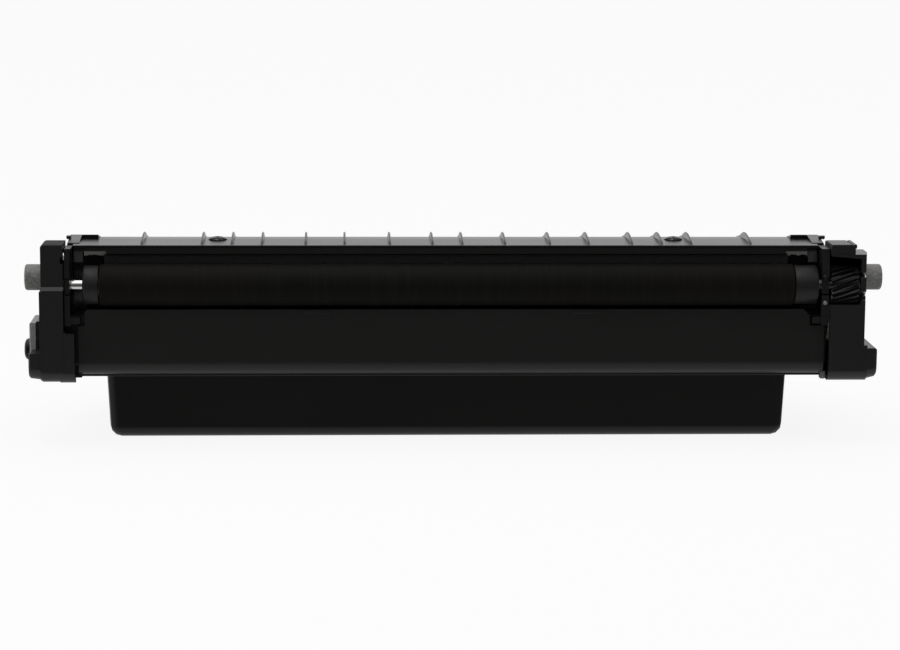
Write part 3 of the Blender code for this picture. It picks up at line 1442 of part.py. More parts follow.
def build_right_cover(mats):
    """The gear cover: shell, gear window, top bar, foot and bush slot."""
    left = PLATE_RIGHT_OUT + SEAT_GAP
    cover = piece(
        "right_cover",
        extruded(right_cover_outline(0.0), "x", left, RIGHT_SIDE_OUT),
        mats["cover"],
    )
    foot_outline = toe_outline(
        COVER_FRONT + SEAT_GAP,
        RIGHT_FOOT_BACK,
        COVER_BOTTOM + SEAT_GAP,
        RIGHT_FOOT_TOP,
    )
    foot = foot_solid(foot_outline, RIGHT_SIDE_OUT - EMBED, RIGHT_FOOT_OUT, RIGHT_FOOT_RISE)
    joined(cover, "foot", foot)
    bar = block(
        left,
        RIGHT_BAR_RIGHT,
        COVER_FRONT + SEAT_GAP,
        RIGHT_BAR_BACK,
        RIGHT_BAR_BOTTOM,
        RIGHT_BAR_TOP,
    )
    joined(cover, "bar", bar)
    hollow = extruded(right_cover_outline(COVER_WALL), "x", left - EMBED, RIGHT_SIDE_IN)
    cut(cover, "hollow", hollow)
    lining = block(
        WINDOW_SIDE,
        RIGHT_SIDE_IN + EMBED,
        COVER_FRONT + SEAT_GAP,
        WINDOW_BACK,
        WINDOW_BOTTOM - COVER_WALL,
        RIGHT_COVER_TOP - COVER_WALL / 2,
    )
    joined(cover, "lining", lining)
    side = WINDOW_SIDE + EMBED / 4
    window = extruded(
        [
            (left - 2 * EMBED, WINDOW_BOTTOM),
            (side, WINDOW_BOTTOM),
            (side, WINDOW_TOP - WINDOW_FALL),
            (left - 2 * EMBED, WINDOW_TOP),
        ],
        "y",
        COVER_FRONT - EMBED,
        WINDOW_BACK + EMBED,
    )
    cut(cover, "window", window)
    slant = extruded(
        [
            (RIGHT_FRONT_OUT, COVER_FRONT - EMBED),
            (RIGHT_SIDE_OUT + EMBED, COVER_FRONT - EMBED),
            (RIGHT_SIDE_OUT + EMBED, COVER_FRONT + RIGHT_FRONT_SLANT),
            (RIGHT_SIDE_OUT, COVER_FRONT + RIGHT_FRONT_SLANT),
        ],
        "z",
        RIGHT_FOOT_TOP + 2 * EMBED,
        RIGHT_COVER_TOP + EMBED,
    )
    cut(cover, "slant", slant)
    radius = BUSH_DIA / 2 + SEAT_GAP
    slot = extruded(
        [
            (COVER_FRONT - EMBED, ROLLER_Z - radius),
            *arc(DEVELOPER, radius, -90, 90, 8),
            (COVER_FRONT - EMBED, ROLLER_Z + radius),
        ],
        "x",
        WINDOW_SIDE - EMBED,
        RIGHT_SIDE_OUT + EMBED,
    )
    cut(cover, "bush_slot", slot)
    pin_hole = rod(RIGHT_SIDE_IN - EMBED, RIGHT_SIDE_OUT + EMBED, PIN_SPIGOT_DIA + 2 * SEAT_GAP)
    holes = [moved(pin_hole, (0, PIN_Y, PIN_Z))]
    for y, z in RIGHT_COVER_SCREWS:
        hole = rod(RIGHT_SIDE_IN - EMBED, RIGHT_FOOT_OUT + EMBED, SCREW_SHANK_DIA + HOLE_PLAY, SMALL)
        holes.append(moved(hole, (0, y, z)))
    cut(cover, "holes", together(*holes))
    return cover


def left_cover_outline(inset):
    """The left cover's outline in Y and Z, moved inwards by a wall."""
    front = COVER_FRONT + inset
    low_front = front - LEFT_LEDGE_PROUD
    bottom = COVER_BOTTOM + inset
    sweep = arc(
        (COVER_FRONT - LEFT_LEDGE_PROUD + COVER_TOE_R, COVER_BOTTOM + COVER_TOE_R),
        COVER_TOE_R - inset,
        180,
        270,
        4,
    )
    back = LEFT_COVER_BACK - inset
    shoulder = LEFT_SHOULDER_TOP - inset
    return [
        (front, LEFT_COVER_TOP - LEFT_TOP_EDGE - inset),
        (front, LEFT_LEDGE_Z + LEFT_LEDGE_PROUD),
        (low_front, LEFT_LEDGE_Z - LEFT_LEDGE_PROUD / 2),
        *sweep,
        (back - LEFT_BACK_R, bottom),
        (back, bottom + LEFT_BACK_R),
        (back, shoulder - LEFT_COVER_FALL),
        (PIN_Y + PIN_DIA, shoulder),
        (LEFT_POST_BACK - inset, shoulder),
        (LEFT_POST_BACK - inset, LEFT_COVER_TOP - inset),
        (front + LEFT_TOP_EDGE, LEFT_COVER_TOP - inset),
    ]


def build_left_cover(mats):
    """The left cover: front post with its ledge, foot, inner reach, contact pad and pin shoulder."""
    cover = piece(
        "left_cover",
        extruded(left_cover_outline(0.0), "x", LEFT_POST_OUT, LEFT_POST_IN),
        mats["cover"],
    )
    low_front = COVER_FRONT - LEFT_LEDGE_PROUD
    step_outline = toe_outline(
        low_front + SEAT_GAP,
        LEFT_FOOT_BACK,
        COVER_BOTTOM + SEAT_GAP,
        LEFT_LEDGE_Z - LEFT_LEDGE_PROUD,
    )
    step = extruded(step_outline, "x", LEFT_STEP_OUT, LEFT_POST_OUT + EMBED)
    joined(cover, "step", step)
    foot_outline = toe_outline(
        low_front + 2 * SEAT_GAP,
        LEFT_FOOT_BACK - SEAT_GAP,
        COVER_BOTTOM + 2 * SEAT_GAP,
        LEFT_FOOT_TOP,
    )
    foot = foot_solid(foot_outline, LEFT_STEP_OUT + EMBED, LEFT_FOOT_OUT, LEFT_FOOT_RISE)
    joined(cover, "foot", foot)
    pad = block(
        CONTACT_PAD_OUT,
        LEFT_POST_OUT + EMBED,
        CONTACT_FRONT - CONTACT_PAD_RIM,
        CONTACT_BACK + CONTACT_PAD_RIM,
        CONTACT_LOW - CONTACT_PAD_RIM,
        CONTACT_HIGH + CONTACT_PAD_RIM,
    )
    joined(cover, "contact_pad", pad)
    hollow = extruded(
        left_cover_outline(COVER_WALL),
        "x",
        LEFT_POST_OUT + COVER_WALL,
        LEFT_POST_IN + EMBED,
    )
    cut(cover, "hollow", hollow)
    reach_outline = toe_outline(
        low_front + SEAT_GAP / 2,
        TROUGH_FRONT - 2 * SEAT_GAP,
        COVER_BOTTOM - LEFT_REACH_DROP,
        LEFT_INNER_TOP,
    )
    reach = extruded(reach_outline, "x", LEFT_POST_IN - COVER_WALL, LEFT_INNER_REACH)
    joined(cover, "reach", reach)
    corner = (LEFT_POST_OUT + LEFT_TOP_CORNER_R, LEFT_COVER_TOP - LEFT_TOP_CORNER_R)
    corner_round = extruded(
        [
            (LEFT_POST_OUT - EMBED, LEFT_COVER_TOP + EMBED),
            (LEFT_POST_OUT - EMBED, corner[1]),
            *arc(corner, LEFT_TOP_CORNER_R, 180, 90, 3),
            (corner[0], LEFT_COVER_TOP + EMBED),
        ],
        "y",
        COVER_FRONT - EMBED,
        LEFT_POST_BACK + EMBED,
    )
    cut(cover, "corner", corner_round)
    slit = block(
        LEFT_POST_IN - SLIT_DEPTH,
        LEFT_POST_IN + EMBED,
        COVER_FRONT - EMBED,
        LEFT_POST_BACK + EMBED,
        SLIT_LOW,
        SLIT_HIGH,
    )
    cut(cover, "slit", slit)
    relief = block(
        LEFT_SHOULDER_IN,
        LEFT_POST_IN + EMBED,
        LEFT_POST_BACK + EMBED / 2,
        LEFT_COVER_BACK - 2 * LEFT_BACK_R,
        LEFT_SHOULDER_TOP - LEFT_COVER_FALL,
        LEFT_SHOULDER_TOP + EMBED,
    )
    cut(cover, "relief", relief)
    through = LEFT_POST_OUT + COVER_WALL + EMBED
    screw_hole = SCREW_SHANK_DIA + HOLE_PLAY
    pin_hole = rod(LEFT_POST_OUT - EMBED, through, PIN_SPIGOT_DIA + 2 * SEAT_GAP)
    contact_hole = rod(CONTACT_PAD_OUT - EMBED, through, screw_hole, SMALL)
    cover_hole = rod(LEFT_POST_OUT - EMBED, through, screw_hole, SMALL)
    holes = together(
        moved(pin_hole, (0, PIN_Y, PIN_Z)),
        moved(contact_hole, (0, CONTACT_SCREW_Y, CONTACT_SCREW_Z)),
        moved(cover_hole, (0, *LEFT_COVER_SCREW)),
    )
    cut(cover, "holes", holes)
    return cover


def build_contact(mats):
    """The bias contact plate on the left cover and its domed screw."""
    outer = CONTACT_OUT
    inner = CONTACT_PAD_OUT - SEAT_GAP
    plate = block(outer, inner, CONTACT_FRONT, CONTACT_BACK, CONTACT_LOW, CONTACT_HIGH)
    plate = rounded(plate, lambda a, b: max(a.x, b.x) < (outer + inner) / 2, COVER_EDGE_R / 3, 1)
    contact = piece("contact_plate", plate, mats["contact"])
    hole = rod(outer - EMBED, inner + EMBED, SCREW_SHANK_DIA + HOLE_PLAY, SMALL)
    cut(contact, "hole", moved(hole, (0, CONTACT_SCREW_Y, CONTACT_SCREW_Z)))
    screw(
        "contact_screw",
        mats["screw"],
        CONTACT_SCREW_DIA,
        CONTACT_SCREW_HIGH,
        LEFT_POST_OUT - outer + COVER_WALL,
        (outer - SEAT_GAP, CONTACT_SCREW_Y, CONTACT_SCREW_Z),
        "left",
    )


def build_pins(mats):
    """The grey locating pins on both covers, each with a spigot in the cover's wall."""
    for name, face, end, inner in (
        ("locating_pin_left", LEFT_POST_OUT, PIN_LEFT_END, LEFT_POST_OUT + COVER_WALL),
        ("locating_pin_right", RIGHT_SIDE_OUT, PIN_RIGHT_END, RIGHT_SIDE_IN),
    ):
        outward = 1 if end > face else -1
        seat = face + outward * SEAT_GAP
        half = PIN_DIA / 2
        profile = [
            (inner, 0.0),
            (inner, PIN_SPIGOT_DIA / 2),
            (seat, PIN_SPIGOT_DIA / 2),
            (seat, half),
            (end - outward * PIN_RIM, half),
            (end, half - PIN_RIM),
            (end, 0.0),
        ]
        piece(name, moved(turned(profile, MEDIUM), (0, PIN_Y, PIN_Z)), mats["pin"])


def build_plug(mats):
    """The plug that closes the toner filling hole in the left end plate."""
    face = PLATE_LEFT_OUT - SEAT_GAP
    half = PLUG_DIA / 2
    profile = [
        (face - PLUG_FLANGE_THICK, 0.0),
        (face - PLUG_FLANGE_THICK, PLUG_FLANGE_DIA / 2 - SEAT_GAP),
        (face - PLUG_FLANGE_THICK + SEAT_GAP, PLUG_FLANGE_DIA / 2),
        (face, PLUG_FLANGE_DIA / 2),
        (face, half),
        (PLATE_LEFT_IN + WALL, half),
        (PLATE_LEFT_IN + WALL, half - WALL),
        (face - PLUG_FLANGE_THICK / 2, half - WALL),
        (face - PLUG_FLANGE_THICK / 2, 0.0),
    ]
    piece("fill_plug", moved(turned(profile, MEDIUM), (0, PLUG_Y, PLUG_Z)), mats["plug"])


def build_screws(mats):
    """The lid screws and the screws that hold the end covers."""
    for name, x in (("lid_screw_left", -LID_SCREW_X), ("lid_screw_right", LID_SCREW_X)):
        seat = lid_top_z(LID_SCREW_Y) - SCREW_RECESS + SEAT_GAP
        screw(
            name,
            mats["screw"],
            SCREW_HEAD_DIA,
            SCREW_HEAD_HIGH,
            seat - BRACKET_BOTTOM + EMBED,
            (x, LID_SCREW_Y, seat),
            "up",
        )
    bite = COVER_WALL + COVER_SCREW_BITE
    screw(
        "left_cover_screw",
        mats["screw"],
        COVER_SCREW_HEAD_DIA,
        COVER_SCREW_HEAD_HIGH,
        bite,
        (LEFT_POST_OUT - SEAT_GAP, *LEFT_COVER_SCREW),
        "left",
    )
    for name, place in zip(("right_cover_screw_upper", "right_cover_screw_rear"), RIGHT_COVER_SCREWS):
        screw(
            name,
            mats["screw"],
            COVER_SCREW_HEAD_DIA,
            COVER_SCREW_HEAD_HIGH,
            bite,
            (RIGHT_SIDE_OUT + SEAT_GAP, *place),
            "right",
        )


def build():
    """The whole cartridge."""
    for old in list(bpy.data.objects):
        bpy.data.objects.remove(old)
    mats = make_materials()
    build_frame(mats)
    build_lid(mats)
    build_panel(mats)
    build_developer(mats)
    supply_phase, agitator_phase = build_train(mats)
    build_supply(mats, supply_phase)
    build_agitator(mats, agitator_phase)
    build_blade(mats)
    build_seals(mats)
    build_bearings(mats)
    build_right_cover(mats)
    build_left_cover(mats)
    build_contact(mats)
    build_pins(mats)
    build_plug(mats)
    build_screws(mats)


build()
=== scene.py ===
"""Looks of the toner cartridge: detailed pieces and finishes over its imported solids.

The pieces are modelled in metres in the solids' own frame: +X to the gear side, +Y to the rear, +Z up.
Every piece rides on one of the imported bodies, so it turns with the gear train where the solid does.
"""

import logging
from collections.abc import Iterable, Sequence
from dataclasses import dataclass
from enum import Enum
from math import acos, cos, pi, radians, sin, tan
from typing import TypeVar

import bmesh
import bpy
from mathutils import Matrix, Vector


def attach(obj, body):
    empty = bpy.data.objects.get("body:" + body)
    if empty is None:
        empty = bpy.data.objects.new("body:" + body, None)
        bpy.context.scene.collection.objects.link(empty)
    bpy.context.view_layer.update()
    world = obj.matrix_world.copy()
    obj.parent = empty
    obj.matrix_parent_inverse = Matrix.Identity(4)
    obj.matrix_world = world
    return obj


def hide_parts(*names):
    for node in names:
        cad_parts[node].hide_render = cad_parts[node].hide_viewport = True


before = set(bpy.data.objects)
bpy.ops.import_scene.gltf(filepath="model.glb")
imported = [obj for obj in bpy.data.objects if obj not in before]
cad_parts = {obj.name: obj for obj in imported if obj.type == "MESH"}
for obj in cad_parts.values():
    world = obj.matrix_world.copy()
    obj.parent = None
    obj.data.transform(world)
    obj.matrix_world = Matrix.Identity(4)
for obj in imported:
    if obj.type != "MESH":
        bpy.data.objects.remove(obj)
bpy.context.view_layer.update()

LOG = logging.getLogger("cartridge")
PAST = 0.001  # how far a cutter reaches past what it cuts
SUNK = 0.0005  # how far an added form sinks into its neighbour
WHITE = (1.0, 1.0, 1.0, 1.0)

BMesh = bmesh.types.BMesh
Span = tuple[float, float]
Spot = tuple[float, float, float]
Box = tuple[Span, Span, Span]
Outline = Sequence[Span]
Values = dict[str | int, object]
Term = "Signal | float"
Item = TypeVar("Item")


class Side(Enum):
    """An end of the cartridge along X."""

    LEFT = -1
    RIGHT = 1

    @property
    def word(self) -> str:
        """The side as the names of pieces spell it."""
        return self.name.lower()

    def of(self, pair: Sequence[Item]) -> Item:
        """This side's item of a (left, right) pair."""
        return pair[0 if self is Side.LEFT else 1]


class Axis(Enum):
    """A world axis, by its index."""

    X = 0
    Y = 1
    Z = 2


class Facing(Enum):
    """Where a round piece faces: the turn that brings +X there, as an angle about an axis."""

    UP = (-pi / 2, "Y")
    LEFT = (pi, "Z")
    RIGHT = (0.0, "Z")
    FRONT = (-pi / 2, "Z")


# Shader expressions


class Signal:
    """A shader socket that takes part in Python expressions."""

    def __init__(self, graph: "Graph", socket: bpy.types.NodeSocket) -> None:
        """Wraps one output socket of a graph."""
        self.graph = graph
        self.socket = socket

    def _maths(self, operation: str, first: Term, second: Term) -> "Signal":
        """Adds one Math node."""
        return self.graph.node("ShaderNodeMath", {0: first, 1: second}, operation=operation)

    def __add__(self, other: Term) -> "Signal":
        """Sum."""
        return self._maths("ADD", self, other)

    def __sub__(self, other: Term) -> "Signal":
        """Difference."""
        return self._maths("SUBTRACT", self, other)

    def __rsub__(self, other: float) -> "Signal":
        """A number less this."""
        return self._maths("SUBTRACT", other, self)

    def __mul__(self, other: Term) -> "Signal":
        """Product."""
        return self._maths("MULTIPLY", self, other)

    def largest(self, other: Term) -> "Signal":
        """The larger of the two."""
        return self._maths("MAXIMUM", self, other)

    def ramped(self, low: float, high: float) -> "Signal":
        """0 below low, 1 above high and smooth between; low may be the larger one."""
        limits = {"Value": self, "From Min": low, "From Max": high, "To Min": 0.0, "To Max": 1.0}
        return self.graph.node("ShaderNodeMapRange", limits, interpolation_type="SMOOTHSTEP")

    def part(self, axis: Axis) -> "Signal":
        """One coordinate of a vector."""
        return self.graph.node("ShaderNodeSeparateXYZ", {0: self}, axis.name)


class Graph:
    """The node tree of one material or world, built from Python."""

    def __init__(self, owner: bpy.types.Material | bpy.types.World, bare: bool = True) -> None:
        """Takes over the tree of a material or world, emptied where it is to be bare.

        Args:
            owner: The material or world.
            bare: Whether its own nodes are removed.
        """
        owner.use_nodes = True
        self.tree = owner.node_tree
        if bare:
            self.tree.nodes.clear()

    def node(
        self, kind: str, inputs: Values | None = None, output: str | int = 0, **settings: object
    ) -> Signal:
        """Adds any node.

        Args:
            kind: The node's type.
            inputs: Values or signals for its sockets.
            output: The socket that is returned.
            settings: Its properties, set first.

        Returns:
            The chosen output.
        """
        made = self.tree.nodes.new(kind)
        for key, value in settings.items():
            setattr(made, key, value)
        for key, value in (inputs or {}).items():
            self.feed(made.inputs[key], value)
        return Signal(self, made.outputs[output])

    def feed(self, socket: bpy.types.NodeSocket, value: object) -> None:
        """Links a signal to a socket, or sets the socket's own value.

        Args:
            socket: The input.
            value: The signal or value.
        """
        if isinstance(value, Signal):
            self.tree.links.new(value.socket, socket)
        else:
            socket.default_value = value

    def finish(self, kind: str, factor: Signal, low: Signal, high: Signal) -> None:
        """Shows a mix of two shaders through an output node.

        Args:
            kind: The output node's type.
            factor: How much of the second.
            low: The first.
            high: The second.
        """
        shown = self.node("ShaderNodeMixShader", {0: factor, 1: low, 2: high})
        self.feed(self.tree.nodes.new(kind).inputs["Surface"], shown)

    def mixed(self, factor: Term, low: Signal | Spot, high: Signal | Spot) -> Signal:
        """A colour between two others.

        Args:
            factor: How much of the second.
            low: The first.
            high: The second.

        Returns:
            The mixed colour.
        """
        ends = [end if isinstance(end, Signal) else (*end, 1.0) for end in (low, high)]
        inputs = {0: factor, 6: ends[0], 7: ends[1]}
        return self.node("ShaderNodeMix", inputs, 2, data_type="RGBA", clamp_factor=True)

    def ray(self, *kinds: str) -> Signal:
        """1 for light paths of any of these kinds.

        Args:
            kinds: Outputs of the Light Path node.

        Returns:
            0 or 1.
        """
        first, *others = [self.node("ShaderNodeLightPath", output=kind) for kind in kinds]
        for other in others:
            first = first.largest(other)
        return first


class Surface(Graph):
    """A material's graph with its Principled shader and the patterns that the finishes share."""

    def __init__(self, name: str) -> None:
        """Makes the material."""
        self.material = bpy.data.materials.new(name)
        super().__init__(self.material, bare=False)
        self.shader = self.tree.nodes["Principled BSDF"]
        self.place = self.node("ShaderNodeTexCoord", output="Object")

    def noise(self, size: float, detail: float = 2.0, scales: Spot | None = None) -> Signal:
        """Soft noise.

        Args:
            size: About the size of its features in metres.
            detail: Its finer layers.
            scales: How much denser it is along each axis.

        Returns:
            Its value, near 0.5 on average.
        """
        at = self.place
        if scales:
            at = self.node("ShaderNodeMapping", {"Vector": at, "Scale": scales})
        inputs = {"Vector": at, "Scale": 1.0 / size, "Detail": detail, "Roughness": 0.55}
        return self.node("ShaderNodeTexNoise", inputs)

    def cells(self, size: float) -> Signal:
        """Distance to the nearest of many scattered points."""
        return self.node("ShaderNodeTexVoronoi", {"Vector": self.place, "Scale": 1.0 / size})

    def dress(
        self, tone: Signal, rough: Signal, relief: Signal, depth: float, others: Values | None = None
    ) -> None:
        """Feeds the shader.

        Args:
            tone: Its base colour.
            rough: Its roughness.
            relief: The height that bends its normal.
            depth: How deep that relief is, in metres.
            others: Its other sockets by name.
        """
        bump = self.node("ShaderNodeBump", {"Height": relief, "Distance": depth})
        values = {"Base Color": tone, "Roughness": rough, "Normal": bump, **(others or {})}
        for key, value in values.items():
            self.feed(self.shader.inputs[key], value)


# Finishes


@dataclass(frozen=True)
class Finish:
    """What every finish has: a colour and a way to lay it on a surface."""

    colour: Spot

    def shade(self, factor: float) -> Spot:
        """The colour made lighter or darker."""
        return tuple(part * factor for part in self.colour)

    def material(self, name: str) -> bpy.types.Material:
        """Builds the material."""
        surface = Surface(name)
        self.lay(surface)
        return surface.material

    def lay(self, surface: Surface) -> None:
        """Dresses a new surface; each finish has its own way."""
        raise NotImplementedError


@dataclass(frozen=True)
class MouldedPlastic(Finish):
    """Injection-moulded plastic with a fine spark-eroded grain, flow marks and a little dust."""

    roughness: float
    grain: float = 0.00028
    relief: float = 7e-6
    dust: float = 0.25
    rubbed: float = 0.30
    specular: float = 0.28
    matt_above: float = 1.0

    def lay(self, surface: Surface) -> None:
        """Lays grain, flow marks, rubbed patches and specks of dust."""
        grain = surface.noise(self.grain, 3.0)
        flow = surface.noise(0.030, 2.0, (0.35, 1.0, 1.0))
        specks = surface.cells(0.0021).ramped(0.055, 0.015) * surface.noise(0.013).ramped(0.50, 0.66)
        rub = surface.noise(0.0042, 4.0, (0.22, 1.0, 1.6)).ramped(0.60, 0.74) * self.rubbed
        tone = surface.mixed(flow, self.shade(0.86), self.shade(1.16))
        tone = surface.mixed(rub * 0.35, tone, self.shade(2.2))
        tone = surface.mixed(specks * self.dust, tone, (0.11, 0.105, 0.10))
        matt = surface.place.part(Axis.Z).ramped(self.matt_above, self.matt_above + 0.00010) * 0.45
        rough = (grain - 0.5) * 0.10 + (flow - 0.5) * 0.10 + self.roughness - rub * 0.10 + specks * 0.2
        surface.dress(tone, rough + matt, grain, self.relief, {"Specular IOR Level": self.specular})


@dataclass(frozen=True)
class TonedSleeve(Finish):
    """The roller's conductive rubber with a thin, slightly uneven film of toner."""

    warm: Spot = (0.0070, 0.0056, 0.0047)
    cool: Spot = (0.0048, 0.0056, 0.0044)
    roughness: float = 0.60
    specular: float = 0.05

    def lay(self, surface: Surface) -> None:
        """Lays a drifting tone, faint rings and powder."""
        drift = surface.noise(0.045, 2.0, (0.5, 2.0, 2.0))
        rings = surface.noise(0.0011, 2.0, (1.0, 0.06, 0.06))
        powder = surface.noise(0.00012)
        tone = surface.mixed(drift.ramped(0.40, 0.60), self.cool, self.warm)
        tone = surface.mixed(0.45, tone, self.colour)
        tone = surface.mixed(rings.ramped(0.45, 0.75) * 0.5, tone, self.shade(1.7))
        rough = (rings - 0.5) * 0.16 + (drift - 0.5) * 0.10 + self.roughness
        relief = powder * 0.7 + rings * 0.6
        surface.dress(tone, rough, relief, 6e-6, {"Specular IOR Level": self.specular})


@dataclass(frozen=True)
class TurnedPlastic(Finish):
    """Dense plastic with faint turning marks round the X axis."""

    roughness: float = 0.42
    specular: float = 0.20

    def lay(self, surface: Surface) -> None:
        """Lays turning marks and paler worn patches."""
        marks = surface.noise(0.00022, 2.0, (1.0, 0.05, 0.05))
        wear = surface.noise(0.0030, 3.0).ramped(0.55, 0.75)
        tone = surface.mixed(wear * 0.5, self.shade(0.9), self.shade(1.5))
        rough = marks * 0.14 + self.roughness - 0.07
        surface.dress(tone, rough, marks, 5e-6, {"Specular IOR Level": self.specular})


@dataclass(frozen=True)
class GroundSteel(Finish):
    """Round steel, ground along its circumference, with faint handling stains."""

    roughness: float = 0.16

    def lay(self, surface: Surface) -> None:
        """Lays grinding lines and stains."""
        lines = surface.noise(0.00015, 3.0, (1.0, 0.03, 0.03))
        stain = surface.noise(0.0060, 3.0).ramped(0.48, 0.72)
        tone = surface.mixed(stain * 0.5, self.colour, self.shade(0.72))
        rough = lines * 0.12 + stain * 0.10 + self.roughness - 0.06
        surface.dress(tone, rough, lines, 1.8e-6, {"Metallic": 1.0})


@dataclass(frozen=True)
class SheetMetal(Finish):
    """Rolled sheet: long rolling lines, a cloudy plated layer and dull patches."""

    roughness: float = 0.34

    def lay(self, surface: Surface) -> None:
        """Lays rolling lines, clouds and dull patches."""
        rolled = surface.noise(0.00035, 3.0, (0.02, 1.0, 1.0))
        dull = surface.noise(0.018).ramped(0.48, 0.66)
        tone = surface.mixed(surface.noise(0.0045, 3.0), self.shade(0.78), self.shade(1.12))
        rough = rolled * 0.12 + dull * 0.16 + self.roughness - 0.06
        surface.dress(tone, rough, rolled, 2.5e-6, {"Metallic": 1.0})


@dataclass(frozen=True)
class ShadePaintedSheet(Finish):
    """Sheet metal with near-black painted shade between the roller's ends and low on its faces, for the shade
    under the lid; only its upper ends are bare and bright.
    """

    # Near-black colour of the painted shade, for the part of the bracket that lies in the shade under the lid.
    toner: Spot = (0.0022, 0.0021, 0.0020)
    half_width: float = 0.1130
    fade: float = 0.0012
    bare_above: float = 0.0641
    roughness: float = 0.26
    shade_roughness: float = 0.85

    def lay(self, surface: Surface) -> None:
        """Lays rolling lines, and near-black painted shade over them up to a ragged edge."""
        rolled = surface.noise(0.00035, 3.0, (0.02, 1.0, 1.0))
        cloud = surface.noise(0.0016, 4.0) - 0.5
        along, height = surface.place.part(Axis.X), surface.place.part(Axis.Z)
        ragged = along * along + cloud * 0.0012
        # Bare metal only past the roller's ends and above a height; elsewhere the near-black painted shade.
        bare = ragged.ramped(self.half_width**2, (self.half_width + self.fade) ** 2)
        bare = bare * (height + cloud * 0.0022).ramped(self.bare_above, self.bare_above + 0.0004)
        metal = surface.mixed(surface.noise(0.0045, 3.0), self.shade(0.70), self.shade(1.15))
        rough = self.shade_roughness - bare * (self.shade_roughness - self.roughness) + rolled * 0.10
        others = {"Metallic": bare, "Specular IOR Level": 0.08}
        surface.dress(surface.mixed(bare, self.toner, metal), rough, rolled, 4e-6, others)


@dataclass(frozen=True)
class FilledPlastic(Finish):
    """Glass-filled plastic: a mottled, fibrous surface."""

    roughness: float = 0.58
    contrast: float = 0.35

    def lay(self, surface: Surface) -> None:
        """Lays fibres and blotches."""
        fibres = surface.noise(0.00055, 4.0, (0.4, 1.0, 1.0))
        mask = fibres * 0.6 + surface.noise(0.0026, 3.0) * 0.4
        low, high = self.shade(1.0 - self.contrast), self.shade(1.0 + self.contrast)
        tone = surface.mixed(mask.ramped(0.32, 0.68), low, high)
        surface.dress(tone, fibres * 0.2 + self.roughness - 0.1, fibres, 14e-6)


@dataclass(frozen=True)
class Felt(Finish):
    """Pressed felt or foam: matted fibres with a soft sheen."""

    cell: float = 0.00035
    sheen: float = 0.15

    def lay(self, surface: Surface) -> None:
        """Lays fibres and pores."""
        fibres = surface.noise(self.cell, 5.0)
        relief = fibres * 0.6 + surface.cells(self.cell * 1.8) * 0.6
        tone = surface.mixed(fibres, self.shade(0.6), self.shade(1.5))
        surface.dress(tone, fibres * 0.1 + 0.86, relief, 45e-6, {"Sheen Weight": self.sheen})


@dataclass(frozen=True)
class Film(Finish):
    """Thin polyester film: glossy with a few soft waves."""

    roughness: float = 0.22

    def lay(self, surface: Surface) -> None:
        """Lays haze and waves."""
        waves = surface.noise(0.016, 1.0, (1.0, 0.4, 0.4))
        haze = surface.noise(0.0012, 3.0).ramped(0.5, 0.8)
        tone = surface.mixed(haze * 0.4, self.colour, self.shade(1.8))
        surface.dress(tone, haze * 0.18 + self.roughness, waves, 40e-6)


@dataclass(frozen=True)
class BlackenedSteel(Finish):
    """A screw's black coating, bare where the driver has touched it."""

    bare: Spot = (0.42, 0.41, 0.40)

    def lay(self, surface: Surface) -> None:
        """Lays the coating and its worn patches."""
        worn = surface.noise(0.00085, 4.0).ramped(0.60, 0.72)
        fine = surface.noise(0.00016)
        tone = surface.mixed(worn * 0.35, self.colour, self.bare)
        surface.dress(tone, fine * 0.16 + 0.22 - worn * 0.05, fine, 4e-6, {"Metallic": 0.75})


FINISHES: dict[str, Finish] = {
    "frame_plastic": MouldedPlastic((0.0086, 0.0086, 0.0080), 0.36, grain=0.00035),
    "lid_plastic": MouldedPlastic((0.0090, 0.0090, 0.0084), 0.29, 0.00045, 3e-6, dust=0.15, specular=0.26),
    "panel_plastic": MouldedPlastic((0.0094, 0.0094, 0.0088), 0.38),
    "cover_plastic": MouldedPlastic((0.0074, 0.0074, 0.0070), 0.37, specular=0.42, matt_above=0.06860),
    "roller_rubber": TonedSleeve((0.0062, 0.0056, 0.0050)),
    "collar_plastic": TurnedPlastic((0.0135, 0.0135, 0.0140)),
    "shaft_steel": GroundSteel((0.66, 0.66, 0.64)),
    "gear_plastic": MouldedPlastic((0.0085, 0.0085, 0.0085), 0.26, 0.00018, 4e-6, dust=0.5),
    "inner_gear_plastic": MouldedPlastic((0.62, 0.61, 0.56), 0.40, 0.00030, dust=0.1, rubbed=0.0),
    "supply_foam": Felt((0.040, 0.040, 0.043), cell=0.00045),
    # The blade bracket's dark middle and lower faces are painted shade.
    "bracket_steel": ShadePaintedSheet((0.52, 0.52, 0.50)),
    "blade_steel": SheetMetal((0.56, 0.53, 0.47), 0.26),
    # Partly the foam's own black and partly painted shade: its colour is darkened for the shaded gap under the
    # lid's lip.
    "seal_felt": Felt((0.0042, 0.0040, 0.0037), sheen=0.01),
    "seal_film": Film((0.014, 0.014, 0.016)),
    "agitator_plastic": MouldedPlastic((0.50, 0.50, 0.48), 0.44, rubbed=0.0),
    "agitator_film": Film((0.09, 0.09, 0.10)),
    "pin_grey": FilledPlastic((0.175, 0.172, 0.165)),
    "contact_plate": FilledPlastic((0.235, 0.225, 0.215), 0.42, 0.10),
    "screw_black": BlackenedSteel((0.014, 0.014, 0.014)),
    "screw_steel": SheetMetal((0.45, 0.45, 0.44), 0.28),
    "plug_plastic": MouldedPlastic((0.016, 0.016, 0.016), 0.45),
}


# Shapes


def spread(start: float, end: float, count: int) -> list[float]:
    """Evenly spaced values, both ends included."""
    return [start + (end - start) * i / (count - 1) for i in range(count)]


